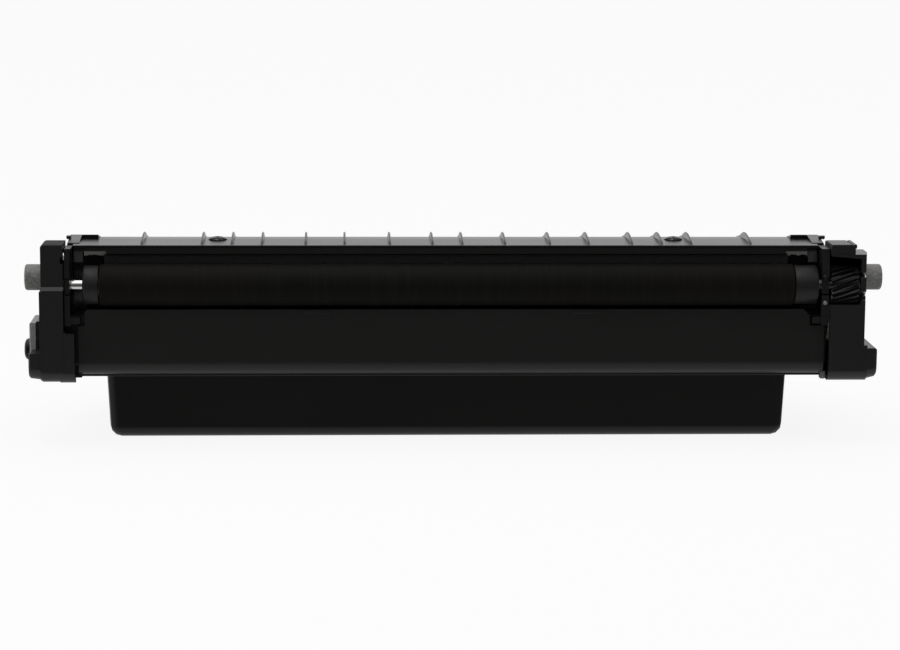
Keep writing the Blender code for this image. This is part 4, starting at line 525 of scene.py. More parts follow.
def arc(centre: Span, radius: float, start: float, end: float, steps: int) -> list[Span]:
    """Points of an arc.

    Args:
        centre: Its centre in the outline's two axes.
        radius: Its radius.
        start: First angle in degrees, from the first axis towards the second.
        end: Last angle.
        steps: Number of chords.

    Returns:
        The points in order.
    """
    angles = [radians(a) for a in spread(start, end, steps + 1)]
    return [(centre[0] + radius * cos(a), centre[1] + radius * sin(a)) for a in angles]


def closed(bm: BMesh) -> BMesh:
    """The same mesh with all faces pointing out."""
    bmesh.ops.recalc_face_normals(bm, faces=bm.faces[:])
    return bm


def moved(bm: BMesh, by: Spot) -> BMesh:
    """The same mesh in another place."""
    bmesh.ops.translate(bm, vec=by, verts=bm.verts[:])
    return bm


def as_mesh(name: str, bm: BMesh) -> bpy.types.Mesh:
    """A named mesh with a shape, which is used up.

    Args:
        name: Its name.
        bm: The shape.

    Returns:
        The mesh.
    """
    mesh = bpy.data.meshes.new(name)
    bm.to_mesh(mesh)
    bm.free()
    return mesh


def placed(name: str, data: bpy.types.ID) -> bpy.types.Object:
    """A new object in the scene.

    Args:
        name: Its name.
        data: Its mesh, camera or light.

    Returns:
        The object.
    """
    made = bpy.data.objects.new(name, data)
    bpy.context.scene.collection.objects.link(made)
    return made


def prism(outline: Outline, axis: Axis, start: float, end: float) -> BMesh:
    """A solid with a flat outline.

    Args:
        outline: Points in the other two axes, in X, Y, Z order.
        axis: The axis it is extruded along.
        start: First end.
        end: Last end.

    Returns:
        The closed mesh.
    """
    bm = bmesh.new()
    verts = []
    for point in outline:
        values = list(point)
        values.insert(axis.value, start)
        verts.append(bm.verts.new(values))
    grown = bmesh.ops.extrude_face_region(bm, geom=[bm.faces.new(verts)])
    shift = Vector((0.0, 0.0, 0.0))
    shift[axis.value] = end - start
    bmesh.ops.translate(bm, vec=shift, verts=[v for v in grown["geom"] if isinstance(v, bmesh.types.BMVert)])
    return closed(bm)


def cuboid(*limits: Span) -> BMesh:
    """A box between limits on each axis.

    Args:
        limits: Low and high along X, Y and Z.

    Returns:
        The closed mesh.
    """
    bm = bmesh.new()
    bmesh.ops.create_cube(bm, size=1.0)
    bmesh.ops.scale(bm, vec=[high - low for low, high in limits], verts=bm.verts[:])
    return moved(bm, [(low + high) / 2 for low, high in limits])


def lathed(profile: Outline, steps: int, axis: Span = (0.0, 0.0)) -> BMesh:
    """A solid of revolution about a line along X.

    Args:
        profile: (x, radius) points; open ends lie on the line.
        steps: Facets round the line.
        axis: Depth and height of the line.

    Returns:
        The closed mesh.
    """
    bm = bmesh.new()
    verts = [bm.verts.new((x, 0.0, radius)) for x, radius in profile]
    pairs = list(zip(verts, verts[1:]))
    if min(profile[0][1], profile[-1][1]) > 0.0:
        pairs.append((verts[-1], verts[0]))
    geom = verts + [bm.edges.new(pair) for pair in pairs]
    bmesh.ops.spin(bm, geom=geom, cent=(0, 0, 0), axis=(1, 0, 0), angle=2 * pi, steps=steps, use_merge=True)
    bmesh.ops.remove_doubles(bm, verts=bm.verts[:], dist=1e-7)
    return moved(closed(bm), (0.0, *axis))


def bevelled(bm: BMesh, edges: list[bmesh.types.BMEdge], radius: float, segments: int, clamp: bool) -> BMesh:
    """Rounds chosen edges of a mesh.

    Args:
        bm: The mesh.
        edges: Its edges.
        radius: Radius of the rounding.
        segments: Steps across it.
        clamp: Whether roundings stop where they meet.

    Returns:
        The same mesh.
    """
    bmesh.ops.bevel(
        bm, geom=edges, offset=radius, offset_type="OFFSET", segments=segments, profile=0.5, affect="EDGES",
        clamp_overlap=clamp, material=-1,
    )
    return closed(bm)


def softened(bm: BMesh, radius: float, segments: int = 2, above: float = 30.0) -> BMesh:
    """Rounds the edges of a mesh that turn by more than some degrees.

    Args:
        bm: The mesh.
        radius: Radius of the rounding.
        segments: Steps across it.
        above: The degrees.

    Returns:
        The same mesh.
    """
    edges = [e for e in bm.edges if len(e.link_faces) == 2 and e.calc_face_angle(0.0) > radians(above)]
    return bevelled(bm, edges, radius, segments, clamp=True)


def gathered(shapes: Iterable[BMesh]) -> BMesh:
    """Several shapes in one mesh.

    Args:
        shapes: The shapes, which are used up.

    Returns:
        The mesh.
    """
    bm = bmesh.new()
    for shape in shapes:
        held = as_mesh("held", shape)
        bm.from_mesh(held)
        bpy.data.meshes.remove(held)
    return bm


def carved(bm: BMesh, cutter: BMesh) -> BMesh:
    """A shape with another cut out of it.

    Args:
        bm: The shape, which is used up.
        cutter: What is cut out, used up too.

    Returns:
        The closed mesh.
    """
    items = [placed("carving", as_mesh("carving", shape)) for shape in (bm, cutter)]
    modifier = items[0].modifiers.new("cut", "BOOLEAN")
    modifier.operation = "DIFFERENCE"
    modifier.solver = "EXACT"
    modifier.object = items[1]
    result = bmesh.new()
    result.from_object(items[0], bpy.context.evaluated_depsgraph_get())
    for item in items:
        mesh = item.data
        bpy.data.objects.remove(item)
        bpy.data.meshes.remove(mesh)
    bmesh.ops.remove_doubles(result, verts=result.verts[:], dist=1e-6)
    bmesh.ops.dissolve_degenerate(result, edges=result.edges[:], dist=1e-6)
    return result


def posed(bm: BMesh, facing: Facing, at: Spot) -> BMesh:
    """Turns a shape that points along +X and moves it.

    Args:
        bm: The shape.
        facing: Where it is to point.
        at: Where its origin goes.

    Returns:
        The same shape.
    """
    angle, axis = facing.value
    bmesh.ops.rotate(bm, cent=(0, 0, 0), matrix=Matrix.Rotation(angle, 3, axis), verts=bm.verts[:])
    return moved(bm, at)


class Workshop:
    """Turns meshes into pieces that have a finish and ride on a body."""

    def __init__(self) -> None:
        """Makes every finish once."""
        self.finishes = {name: finish.material(name) for name, finish in FINISHES.items()}
        self.count = 0

    def add(
        self,
        name: str,
        bm: BMesh,
        finish: str,
        stands_for: Sequence[str] = (),
        body: str = "housing",
        sharp: float = 34.0,
        flats: bool = True,
    ) -> None:
        """Makes one piece.

        Args:
            name: The piece's name.
            bm: Its mesh, which is used up.
            finish: The record's material slot.
            stands_for: Solids that it replaces.
            body: The body that it rides on.
            sharp: Edges that turn by more than this stay sharp.
            flats: Whether its large faces shade flat, with the bend in the roundings alone.
        """
        mesh = as_mesh(name, bm)
        mesh.materials.append(self.finishes[finish])
        mesh.shade_smooth()
        mesh.set_sharp_from_angle(angle=radians(sharp))
        piece = placed(name, mesh)
        if flats:
            piece.modifiers.new("flats", "WEIGHTED_NORMAL").keep_sharp = True
        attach(piece, body)
        if stands_for:
            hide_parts(*stands_for)
        self.count += 1
        LOG.info("%s: %d faces, %s", name, len(mesh.polygons), finish)

    def refine(self, node: str, finish: str, radius: float, cut: Box | None = None) -> None:
        """Puts a copy of a solid with rounded edges in its place.

        Args:
            node: The solid, whose mesh is merged and freed of its flat inner edges first.
            finish: The record's material slot.
            radius: Radius of the roundings.
            cut: Limits of a box that is cut out before they are made.
        """
        bm = bmesh.new()
        bm.from_mesh(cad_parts[node].data)
        bmesh.ops.remove_doubles(bm, verts=bm.verts[:], dist=2e-6)
        bmesh.ops.dissolve_limit(
            bm, angle_limit=radians(0.6), verts=bm.verts[:], edges=bm.edges[:], use_dissolve_boundaries=False
        )
        if cut:
            bm = carved(bm, cuboid(*cut))
        self.add(f"{node}_fine", softened(bm, radius), finish, (node,))

    def paint(self, node: str, finish: str) -> None:
        """Gives a solid that stays a finish.

        Args:
            node: The solid.
            finish: The record's material slot.
        """
        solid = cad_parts[node]
        solid.data.materials.clear()
        solid.data.materials.append(self.finishes[finish])
        LOG.info("%s: finish %s", node, finish)


# Sub-assemblies


@dataclass
class DeveloperRoller:
    """The exposed roller with its collars, steel core and helical gear."""

    axis: Span = (-0.0390, 0.0548)
    dia: float = 0.0140
    ends: Span = (-0.1156, 0.1156)
    rim: float = 0.0006
    collar_dia: float = 0.0132
    collar_ends: Span = (-0.1210, 0.1237)
    recess: float = 0.0008
    core_dia: float = 0.0080
    journal_dia: float = 0.0040
    shaft_ends: Span = (-0.1300, 0.14045)
    chamfer: float = 0.0003
    gap: float = 0.0003

    def turned(self, profile: Outline, facets: int = 128) -> BMesh:
        """A solid of revolution about the roller's axis."""
        return lathed(profile, facets, self.axis)

    def sleeve(self) -> BMesh:
        """The dark sleeve with rounded ends."""
        (left, right), rim, high = self.ends, self.rim, self.dia / 2 - self.rim
        inner = self.core_dia / 2 + self.gap / 2
        rounds = arc((left + rim, high), rim, 180, 90, 5) + arc((right - rim, high), rim, 90, 0, 5)
        return self.turned([(left, inner), *rounds, (right, inner)])

    def collar(self, side: Side) -> BMesh:
        """A paler end collar with a bevelled rim.

        Args:
            side: Which end.

        Returns:
            The closed mesh.
        """
        out, rim, half = side.value, self.rim, self.collar_dia / 2
        outer, near = side.of(self.collar_ends), side.of(self.ends) + out * self.gap
        bore = self.journal_dia / 2 + self.gap / 2 + self.recess
        profile = [
            (outer, bore), (outer, half - rim), (outer - out * rim * 0.4, half - rim * 0.35),
            (outer - out * rim, half), (near + out * 0.0002, half), (near, half - 0.0001),
            (near, half - 0.0012), (outer - out * 0.0003, bore),
        ]
        return self.turned(profile)

    def shaft(self) -> BMesh:
        """The steel core and its journals."""
        journal, core, edge = self.journal_dia / 2, self.core_dia / 2, self.chamfer
        left, right = self.shaft_ends
        low, high = self.collar_ends[0] + self.rim, self.collar_ends[1] - self.rim
        profile = [
            (left, 0.0), (left, journal - edge), (left + edge, journal), (low, journal), (low, core),
            (high, core), (high, journal), (right - edge, journal), (right, journal - edge), (right, 0.0),
        ]
        return self.turned(profile, 48)

    def build(self, shop: Workshop) -> None:
        """Makes the roller's pieces."""
        gear = HelicalGear(self.axis, self.journal_dia + self.gap)
        collars = [
            (f"collar_{side.word}", self.collar(side), "collar_plastic", (f"roller_collar_{side.word}",))
            for side in Side
        ]
        pieces = [
            ("roller_sleeve", self.sleeve(), "roller_rubber", ("developer_roller",)),
            *collars,
            ("steel_core", self.shaft(), "shaft_steel", ("developer_shaft",)),
        ]
        for piece in pieces:
            shop.add(*piece, body="developer_roller", flats=False)
        gear_of = ("developer_gear",)
        shop.add("helical_gear", gear.mesh(), "gear_plastic", gear_of, "developer_roller", 28.0, False)


@dataclass
class HelicalGear:
    """The developer gear: involute teeth on a helix, with rounded tips and a recessed hub."""

    axis: Span
    bore: float
    teeth: int = 18
    module: float = 0.000675
    pressure: float = 20.0
    helix: float = 21.0
    addendum: float = 0.00063
    dedendum: float = 0.00078
    backlash: float = 0.00018
    start: float = 0.1279
    width: float = 0.0092
    slices: int = 10
    hand: int = -1

    @property
    def pitch(self) -> float:
        """Radius of the pitch circle."""
        return self.teeth * self.module / 2

    def half_angle(self, radius: float) -> float:
        """Half the angle that a tooth spans at a radius.

        Args:
            radius: The radius.

        Returns:
            The angle in radians.
        """
        pressure = radians(self.pressure)
        base = self.pitch * cos(pressure)
        local = acos(base / max(radius, base))
        straight = pi / (2 * self.teeth) - self.backlash / (2 * self.pitch)
        return straight + (tan(pressure) - pressure) - (tan(local) - local)

    def tooth(self) -> Outline:
        """(radius, angle) points over one tooth, from root to root."""
        pitch, high, deep = self.pitch, self.addendum, self.dedendum
        tip, root, crown = pitch + high, pitch - deep, high * 0.16
        radii = [root, root + deep * 0.25, pitch - high * 0.3, pitch + high * 0.35, tip - crown]
        flank = [(r, self.half_angle(r)) for r in radii] + [(tip, self.half_angle(tip) * 0.72)]
        flank[0] = (root, flank[0][1] + 0.025)
        return [(r, -a) for r, a in flank] + [(r, a) for r, a in reversed(flank)]

    def mesh(self) -> BMesh:
        """The gear, extruded slice by slice while it turns."""
        bm = bmesh.new()
        points = []
        for i in range(self.teeth):
            turn = 2 * pi * i / self.teeth
            points += [(r * cos(a + turn), r * sin(a + turn)) for r, a in self.tooth()]
        ring = [bm.verts.new((self.start, y, z)) for y, z in points]
        first = edges = [bm.edges.new(pair) for pair in zip(ring, ring[1:] + ring[:1])]
        step = self.width / self.slices
        twist = self.hand * tan(radians(self.helix)) / self.pitch * step
        for _ in range(self.slices):
            grown = bmesh.ops.extrude_edge_only(bm, edges=edges)["geom"]
            verts = [g for g in grown if isinstance(g, bmesh.types.BMVert)]
            edges = [g for g in grown if isinstance(g, bmesh.types.BMEdge)]
            bmesh.ops.rotate(bm, cent=(0, 0, 0), matrix=Matrix.Rotation(twist, 3, "X"), verts=verts)
            bmesh.ops.translate(bm, vec=(step, 0.0, 0.0), verts=verts)
        bores = []
        for out, x, rim in ((-1.0, self.start, first), (1.0, self.start + self.width, edges)):
            hub, dish, bore = [
                self.ring_at(bm, x - out * depth, self.bore / 2 + wall)
                for depth, wall in ((0.0, 0.0011), (0.0004, 0.0009), (0.0004, 0.0))
            ]
            bmesh.ops.triangle_fill(bm, edges=rim + hub, use_beauty=True, normal=(out, 0, 0))
            bmesh.ops.bridge_loops(bm, edges=hub + dish)
            bmesh.ops.bridge_loops(bm, edges=dish + bore)
            bores += bore
        bmesh.ops.bridge_loops(bm, edges=bores)
        return moved(closed(bm), (0.0, *self.axis))

    def ring_at(self, bm: BMesh, x: float, radius: float) -> list[bmesh.types.BMEdge]:
        """The edges of a circle round the axis.

        Args:
            bm: The mesh that it is added to.
            x: Its place.
            radius: Its radius.

        Returns:
            Its edges.
        """
        turn = Matrix.Translation((x, 0, 0)) @ Matrix.Rotation(pi / 2, 4, "Y")
        made = bmesh.ops.create_circle(bm, cap_ends=False, radius=radius, segments=48, matrix=turn)
        own = set(made["verts"])
        return [e for e in bm.edges if own.issuperset(e.verts)]


@dataclass
class Lid:
    """The glossy lid: lip with a fine groove, paper guide ribs, end pads, cheeks and a rear grip."""

    ends: Span = (-0.1268, 0.1270)
    front: float = -0.0370
    front_z: float = 0.0678
    crest_y: float = -0.0230
    crest_z: float = 0.0680
    drop: float = 0.0190
    back_y: float = 0.0382
    flange_y: float = 0.0430
    seat_z: float = 0.0470
    thick: float = 0.0020
    lip_bottom: float = 0.0649
    lip_thick: float = 0.0014
    groove: Span = (0.06685, 0.0672)
    groove_depth: float = 0.0004
    side_front: float = -0.0330
    gaps: Span = (-0.1246, 0.1244)
    rib_offsets: tuple[float, ...] = (0.0050, 0.0193, 0.0344, 0.0474, 0.0620, 0.0720, 0.0820, 0.1020)
    rib_height: float = 0.0021
    rib_low: float = 0.0005
    rib_crest: float = -0.0200
    rib_fade: float = 0.0125
    rib_base: float = 0.0013
    rib_tip: float = 0.0007
    rib_end: float = 0.0280
    rib_round: float = 0.0003
    pad_y: Span = (-0.0215, -0.0120)
    pad_height: float = 0.0014
    pad_width: float = 0.0055
    ramp_width: float = 0.0040
    cheek_width: float = 0.0034
    cheek_z: Span = (0.0620, 0.0675)
    cheek_back: float = -0.0340
    cheek_tilt: float = 23.0
    cheek_cut: float = 0.0669
    end_width: float = 0.0110
    end_cut: float = 0.0658
    hooks: tuple[Span, Span] = ((-0.12765, -0.1261), (0.1264, 0.1284))
    hook_y: float = -0.0260
    hook_z: float = 0.0688
    grip_width: float = 0.0900
    grip_depth: float = 0.0050
    grip_round: float = 0.0015
    grip_grooves: int = 15
    screw_x: float = 0.0771
    screw_y: float = -0.0240
    screw_hole: float = 0.0030
    recess_dia: float = 0.0064
    recess: float = 0.0009

    def top_z(self, y: float) -> float:
        """Height of the upper surface at a depth.

        Args:
            y: The depth.

        Returns:
            The height.
        """
        if y < self.crest_y:
            share = (y - self.front) / (self.crest_y - self.front)
            return self.front_z + share * (self.crest_z - self.front_z)
        share = (y - self.crest_y) / (self.back_y - self.crest_y)
        return self.crest_z - self.drop * share * share

    def shell(self) -> BMesh:
        """The lid's shell, cut back between the end plates and round the screws."""
        front, lip_back, inset = self.front, self.front + self.lip_thick, self.front + self.groove_depth
        flange, (low, high) = self.flange_y, self.groove
        top = [(y, self.top_z(y)) for y in spread(self.crest_y, self.back_y, 29)]
        under = [(y, z - self.thick) for y, z in top[:-1]] + [(self.back_y, self.seat_z)]
        outline = [
            (front, self.front_z), *top, (flange, top[-1][1]), (flange, self.seat_z), *reversed(under),
            (lip_back, self.front_z - self.thick), (lip_back, self.lip_bottom), (front, self.lip_bottom),
            (front, low), (inset, low), (inset, high), (front, high),
        ]
        shell = prism(outline, Axis.X, *self.ends)
        left, right = self.gaps
        cuts = (
            (0.0, 0.005, self.side_front, 0.0710),
            (self.cheek_width + 0.0002, 0.0001, lip_back + 0.0002, self.cheek_cut),
            (self.end_width, 0.0001, lip_back + 0.0002, self.end_cut),
        )
        for reach, outside, back, ceiling in cuts:
            limits = ((left - outside, left + reach), (right - reach, right + outside))
            room = ((front - PAST, back), (self.lip_bottom - PAST, ceiling))
            shell = carved(shell, gathered(cuboid(x, *room) for x in limits))
        half, hole, floor, over = self.recess_dia / 2, self.screw_hole / 2, -self.recess, self.thick
        profile = [
            (-2 * over, 0.0), (-2 * over, hole), (floor, hole), (floor, half), (over, half), (over, 0.0),
        ]
        for side in Side:
            at = (side.value * self.screw_x, self.screw_y, self.top_z(self.screw_y))
            shell = carved(shell, posed(lathed(profile, 40), Facing.UP, at))
        return softened(shell, 0.00016)

    def rib(self, x: float) -> BMesh:
        """A paper guide rib that rises behind the lip to a hump and runs out low along the curve.

        Args:
            x: Its middle.

        Returns:
            The closed mesh.
        """
        start, hump = self.front + 0.0020, self.rib_crest
        crest = []
        for y in spread(start, hump, 9)[:-1] + spread(hump, self.rib_end, 25):
            if y < hump:
                share = sin(pi / 2 * (y - start) / (hump - start))
            else:
                share = 0.5 + 0.5 * cos(pi * min(1.0, (y - hump) / self.rib_fade))
            low = 0.0 if y == start else self.rib_low * min(1.0, (self.rib_end - y) / 0.004 + 0.4)
            crest.append((y, self.top_z(y) + low + (self.rib_height - self.rib_low) * share))
        foot = [(y, self.top_z(y) - SUNK) for y, _ in reversed(crest)]
        bm = prism(crest + foot, Axis.X, x - self.rib_base / 2, x + self.rib_base / 2)
        tips = {(round(y, 6), round(z, 6)) for y, z in crest}
        high = {v for v in bm.verts if (round(v.co.y, 6), round(v.co.z, 6)) in tips}
        narrowed = (self.rib_base - self.rib_tip) / 2
        for vert in high:
            vert.co.x += narrowed if vert.co.x < x else -narrowed
        edges = [
            e for e in bm.edges
            if high.issuperset(e.verts) and abs(e.verts[0].co.y - e.verts[1].co.y) > 1e-6
        ]
        return bevelled(bm, edges, self.rib_round, 3, clamp=False)

    def end_block(self, side: Side) -> BMesh:
        """The raised pad near a lid end, the ramp beside it and the small hook on its corner.

        Args:
            side: Which end.

        Returns:
            The three in one mesh.
        """
        edge, inward, (pad_front, pad_back) = side.of(self.ends), -side.value, self.pad_y
        ramp_in = edge + inward * self.ramp_width
        pad_in = ramp_in + inward * self.pad_width
        front = self.side_front + 0.0003
        low = (pad_back, self.top_z(pad_back) - SUNK)
        back = (pad_back, self.top_z(pad_back) + 0.0001)
        top = (pad_front, self.top_z(pad_front) + self.pad_height)
        ramp = [(front, self.top_z(front) - SUNK), low, back, top, (front, self.top_z(front) + 0.0002)]
        bends = ((-0.0008, 0.0), (0.0012, -0.0006), (0.0012, 0.0006), (0.0002, 0.0009), (-0.0007, 0.0007))
        hook = [(self.hook_y + y, self.hook_z + z) for y, z in bends]
        forms = (
            (ramp, (edge, ramp_in), 0.00018, 2),
            ([(pad_front, low[1]), low, back, top], (ramp_in - inward * SUNK, pad_in), 0.0002, 3),
            (hook, side.of(self.hooks), 0.00012, 2),
        )
        return gathered(softened(prism(form, Axis.X, *sorted(x)), *round_) for form, x, *round_ in forms)

    def cheek(self, side: Side) -> BMesh:
        """The block under the lid beside an end plate; its face leans back a little.

        Args:
            side: Which end.

        Returns:
            The closed mesh.
        """
        inner, face, back = side.of(self.gaps), self.front + 0.0001, self.cheek_back
        low, high = self.cheek_z
        lean = (high - low) * tan(radians(self.cheek_tilt))
        outline = [(face, low), (back, low), (back, high), (face + lean, high)]
        limits = sorted((inner, inner - side.value * self.cheek_width))
        return softened(prism(outline, Axis.X, *limits), 0.00025, 3)

    def grip(self) -> BMesh:
        """The ribbed finger grip on the rear flange."""
        half, deep, bend, front = self.grip_width / 2, self.grip_depth, self.grip_round, self.flange_y
        top, turn_y = self.top_z(self.back_y), front + deep - bend
        outline = [
            (-half - deep, front - SUNK), (half + deep, front - SUNK),
            *arc((half - bend, turn_y), bend, 45, 90, 3), *arc((-half + bend, turn_y), bend, 90, 135, 3),
        ]
        plate = prism(outline, Axis.Z, self.seat_z + 0.0002, top - 0.0003)
        room = ((front + 0.0006, front + deep - 0.0006), (top - 0.0008, top + PAST))
        centres = spread(-half + 0.003, half - 0.003, self.grip_grooves)
        grooves = gathered(cuboid((x - 0.0006, x + 0.0006), *room) for x in centres)
        return softened(carved(plate, grooves), 0.00016)

    def build(self, shop: Workshop) -> None:
        """Makes the lid's pieces."""
        shop.add("lid_shell", self.shell(), "lid_plastic", ("top_cover",))
        ribs = [self.rib(side.value * x) for x in self.rib_offsets for side in Side]
        shop.add("guide_ribs", gathered(ribs), "lid_plastic")
        shop.add("lid_end_pads", gathered(self.end_block(side) for side in Side), "lid_plastic")
        shop.add("lid_cheeks", gathered(self.cheek(side) for side in Side), "lid_plastic")
        shop.add("lid_grip", self.grip(), "lid_plastic")


@dataclass
class FrontPanel:
    """The long front panel: curved lower edge, notched ends, two clip tabs, a sill and two feet."""

    face: float = -0.0420
    top: float = 0.0470
    bottom: float = 0.0244
    thick: float = 0.0013
    curve: float = 0.0050
    back: float = 0.0048
    ends: Span = (-0.1229, 0.1264)
    notches: Span = (-0.1207, 0.1214)
    notch_z: float = 0.0415
    chamfer: float = 0.0022
    corner: float = 0.0015
    tab_centres: Span = (-0.0438, 0.0458)
    tab_width: float = 0.0091
    tab_height: float = 0.0015
    tab_proud: float = 0.0004
    sill: Box = ((-0.1225, 0.1260), (-0.0380, -0.0335), (0.0238, 0.0249))
    foot_y: Span = (-0.0396, -0.0366)
    foot_x: tuple[Span, Span] = ((-0.1241, -0.1219), (0.1257, 0.1275))
    foot_z: tuple[Span, Span] = ((0.0236, 0.0278), (0.0228, 0.0254))

    def sheet(self) -> BMesh:
        """The bent sheet with its notches."""
        face, top, bottom, thick, curve = self.face, self.top, self.bottom, self.thick, self.curve
        centre = (face + curve, bottom + curve)
        rear = centre[0] + self.back
        outline = [
            (face, top), *arc(centre, curve, 180, 270, 14), (rear, bottom), (rear, bottom + thick),
            *reversed(arc(centre, curve - thick, 180, 270, 14)), (face + thick, top),
        ]
        (left, right), (start, end) = self.notches, (self.ends[0] - PAST, self.ends[1] + PAST)
        low, high, slant, bend = self.notch_z, top + PAST, self.chamfer, self.corner
        left_notch = [
            (start, low), (left, low), *reversed(arc((left + bend, top - bend), bend, 90, 180, 8)),
            (left + bend + PAST, high), (start, high),
        ]
        right_notch = [
            (end, low), (end, high), (right - slant - PAST, high), (right - slant, top - 0.0001),
            (right, top - slant), (right, low),
        ]
        reach = (face - PAST, face + thick + PAST)
        cutters = gathered(prism(notch, Axis.Y, *reach) for notch in (left_notch, right_notch))
        return softened(carved(prism(outline, Axis.X, *self.ends), cutters), 0.00022, 3, 40.0)

    def tab(self, x: float) -> BMesh:
        """A clip tab on the top edge.

        Args:
            x: Its middle.

        Returns:
            The closed mesh.
        """
        limits = (x - self.tab_width / 2, x + self.tab_width / 2)
        depth = (self.face - self.tab_proud, self.face + SUNK)
        return softened(cuboid(limits, depth, (self.top - self.tab_height, self.top - 0.0001)), 0.00018)

    def build(self, shop: Workshop) -> None:
        """Makes the panel's pieces."""
        shop.add("panel_sheet", self.sheet(), "panel_plastic", ("front_panel",))
        shop.add("panel_tabs", gathered(self.tab(x) for x in self.tab_centres), "panel_plastic")
        shop.add("panel_sill", softened(cuboid(*self.sill), 0.0003, 3), "frame_plastic")
        for side, finish in zip(Side, ("frame_plastic", "pin_grey")):
            foot = cuboid(side.of(self.foot_x), self.foot_y, side.of(self.foot_z))
            shop.add(f"panel_foot_{side.word}", softened(foot, 0.0003), finish)


@dataclass
class DomedScrew:
    """A round-headed screw with a cross recess."""

    node: str
    at: Spot
    facing: Facing
    head_dia: float = 0.0060
    head_high: float = 0.0016
    shank: float = 0.0060
    shank_dia: float = 0.0026
    finish: str = "screw_black"

    def mesh(self) -> BMesh:
        """The head, its cross recess and a plain shank."""
        half, shank, high = self.head_dia / 2, self.shank_dia / 2, self.head_high
        skirt = high * 0.28
        turns = spread(0.0, pi / 2, 9)
        dome = [(skirt + (high - skirt) * sin(a), half * (0.34 + 0.66 * cos(a) ** 0.8)) for a in turns]
        profile = [
            (-self.shank, 0.0), (-self.shank, shank), (0.0, shank), (0.0, half - 0.0001), (0.0001, half),
            *dome, (high, 0.0),
        ]
        head = lathed(profile, 48)
        arm, slim = self.head_dia * 0.25, self.head_dia * 0.075
        for y, z in ((arm, slim), (slim, arm)):
            head = carved(head, cuboid((high * 0.35, high + PAST), (-y, y), (-z, z)))
        return posed(head, self.facing, self.at)

    def build(self, shop: Workshop) -> None:
        """Makes the screw."""
        name = self.node.replace("right_cover", "right")
        shop.add(f"{name}_head", self.mesh(), self.finish, (self.node,))


@dataclass
class Fasteners:
    """Every screw of the cartridge."""

    lid: Spot = (0.0771, -0.0240, 0.0674)
    blade: Spot = (0.1183, -0.0285, 0.0644)
    left_cover: Spot = (-0.1349, 0.0040, 0.0400)
    right_upper: Spot = (0.14075, -0.0120, 0.0534)
    right_rear: Spot = (0.14075, 0.0170, 0.0446)
    contact: Spot = (-0.1400, -0.0290, 0.0316)
    blade_sizes: Spot = (0.0050, 0.0011, 0.0045)
    cover_sizes: Span = (0.0055, 0.0014)
    contact_sizes: Span = (0.0072, 0.0019)

    def screws(self) -> Iterable[DomedScrew]:
        """The screws in order."""
        for side in Side:
            lid, blade = [(side.value * x, y, z) for x, y, z in (self.lid, self.blade)]
            yield DomedScrew(f"lid_screw_{side.word}", lid, Facing.UP)
            node = f"blade_screw_{side.word}"
            yield DomedScrew(node, blade, Facing.UP, *self.blade_sizes, finish="screw_steel")
        yield DomedScrew("left_cover_screw", self.left_cover, Facing.LEFT, *self.cover_sizes)
        yield DomedScrew("right_cover_screw_upper", self.right_upper, Facing.RIGHT, *self.cover_sizes)
        yield DomedScrew("right_cover_screw_rear", self.right_rear, Facing.RIGHT, *self.cover_sizes)
        yield DomedScrew("contact_screw", self.contact, Facing.LEFT, *self.contact_sizes)

    def build(self, shop: Workshop) -> None:
        """Makes the screws."""
        for screw in self.screws():
            screw.build(shop)


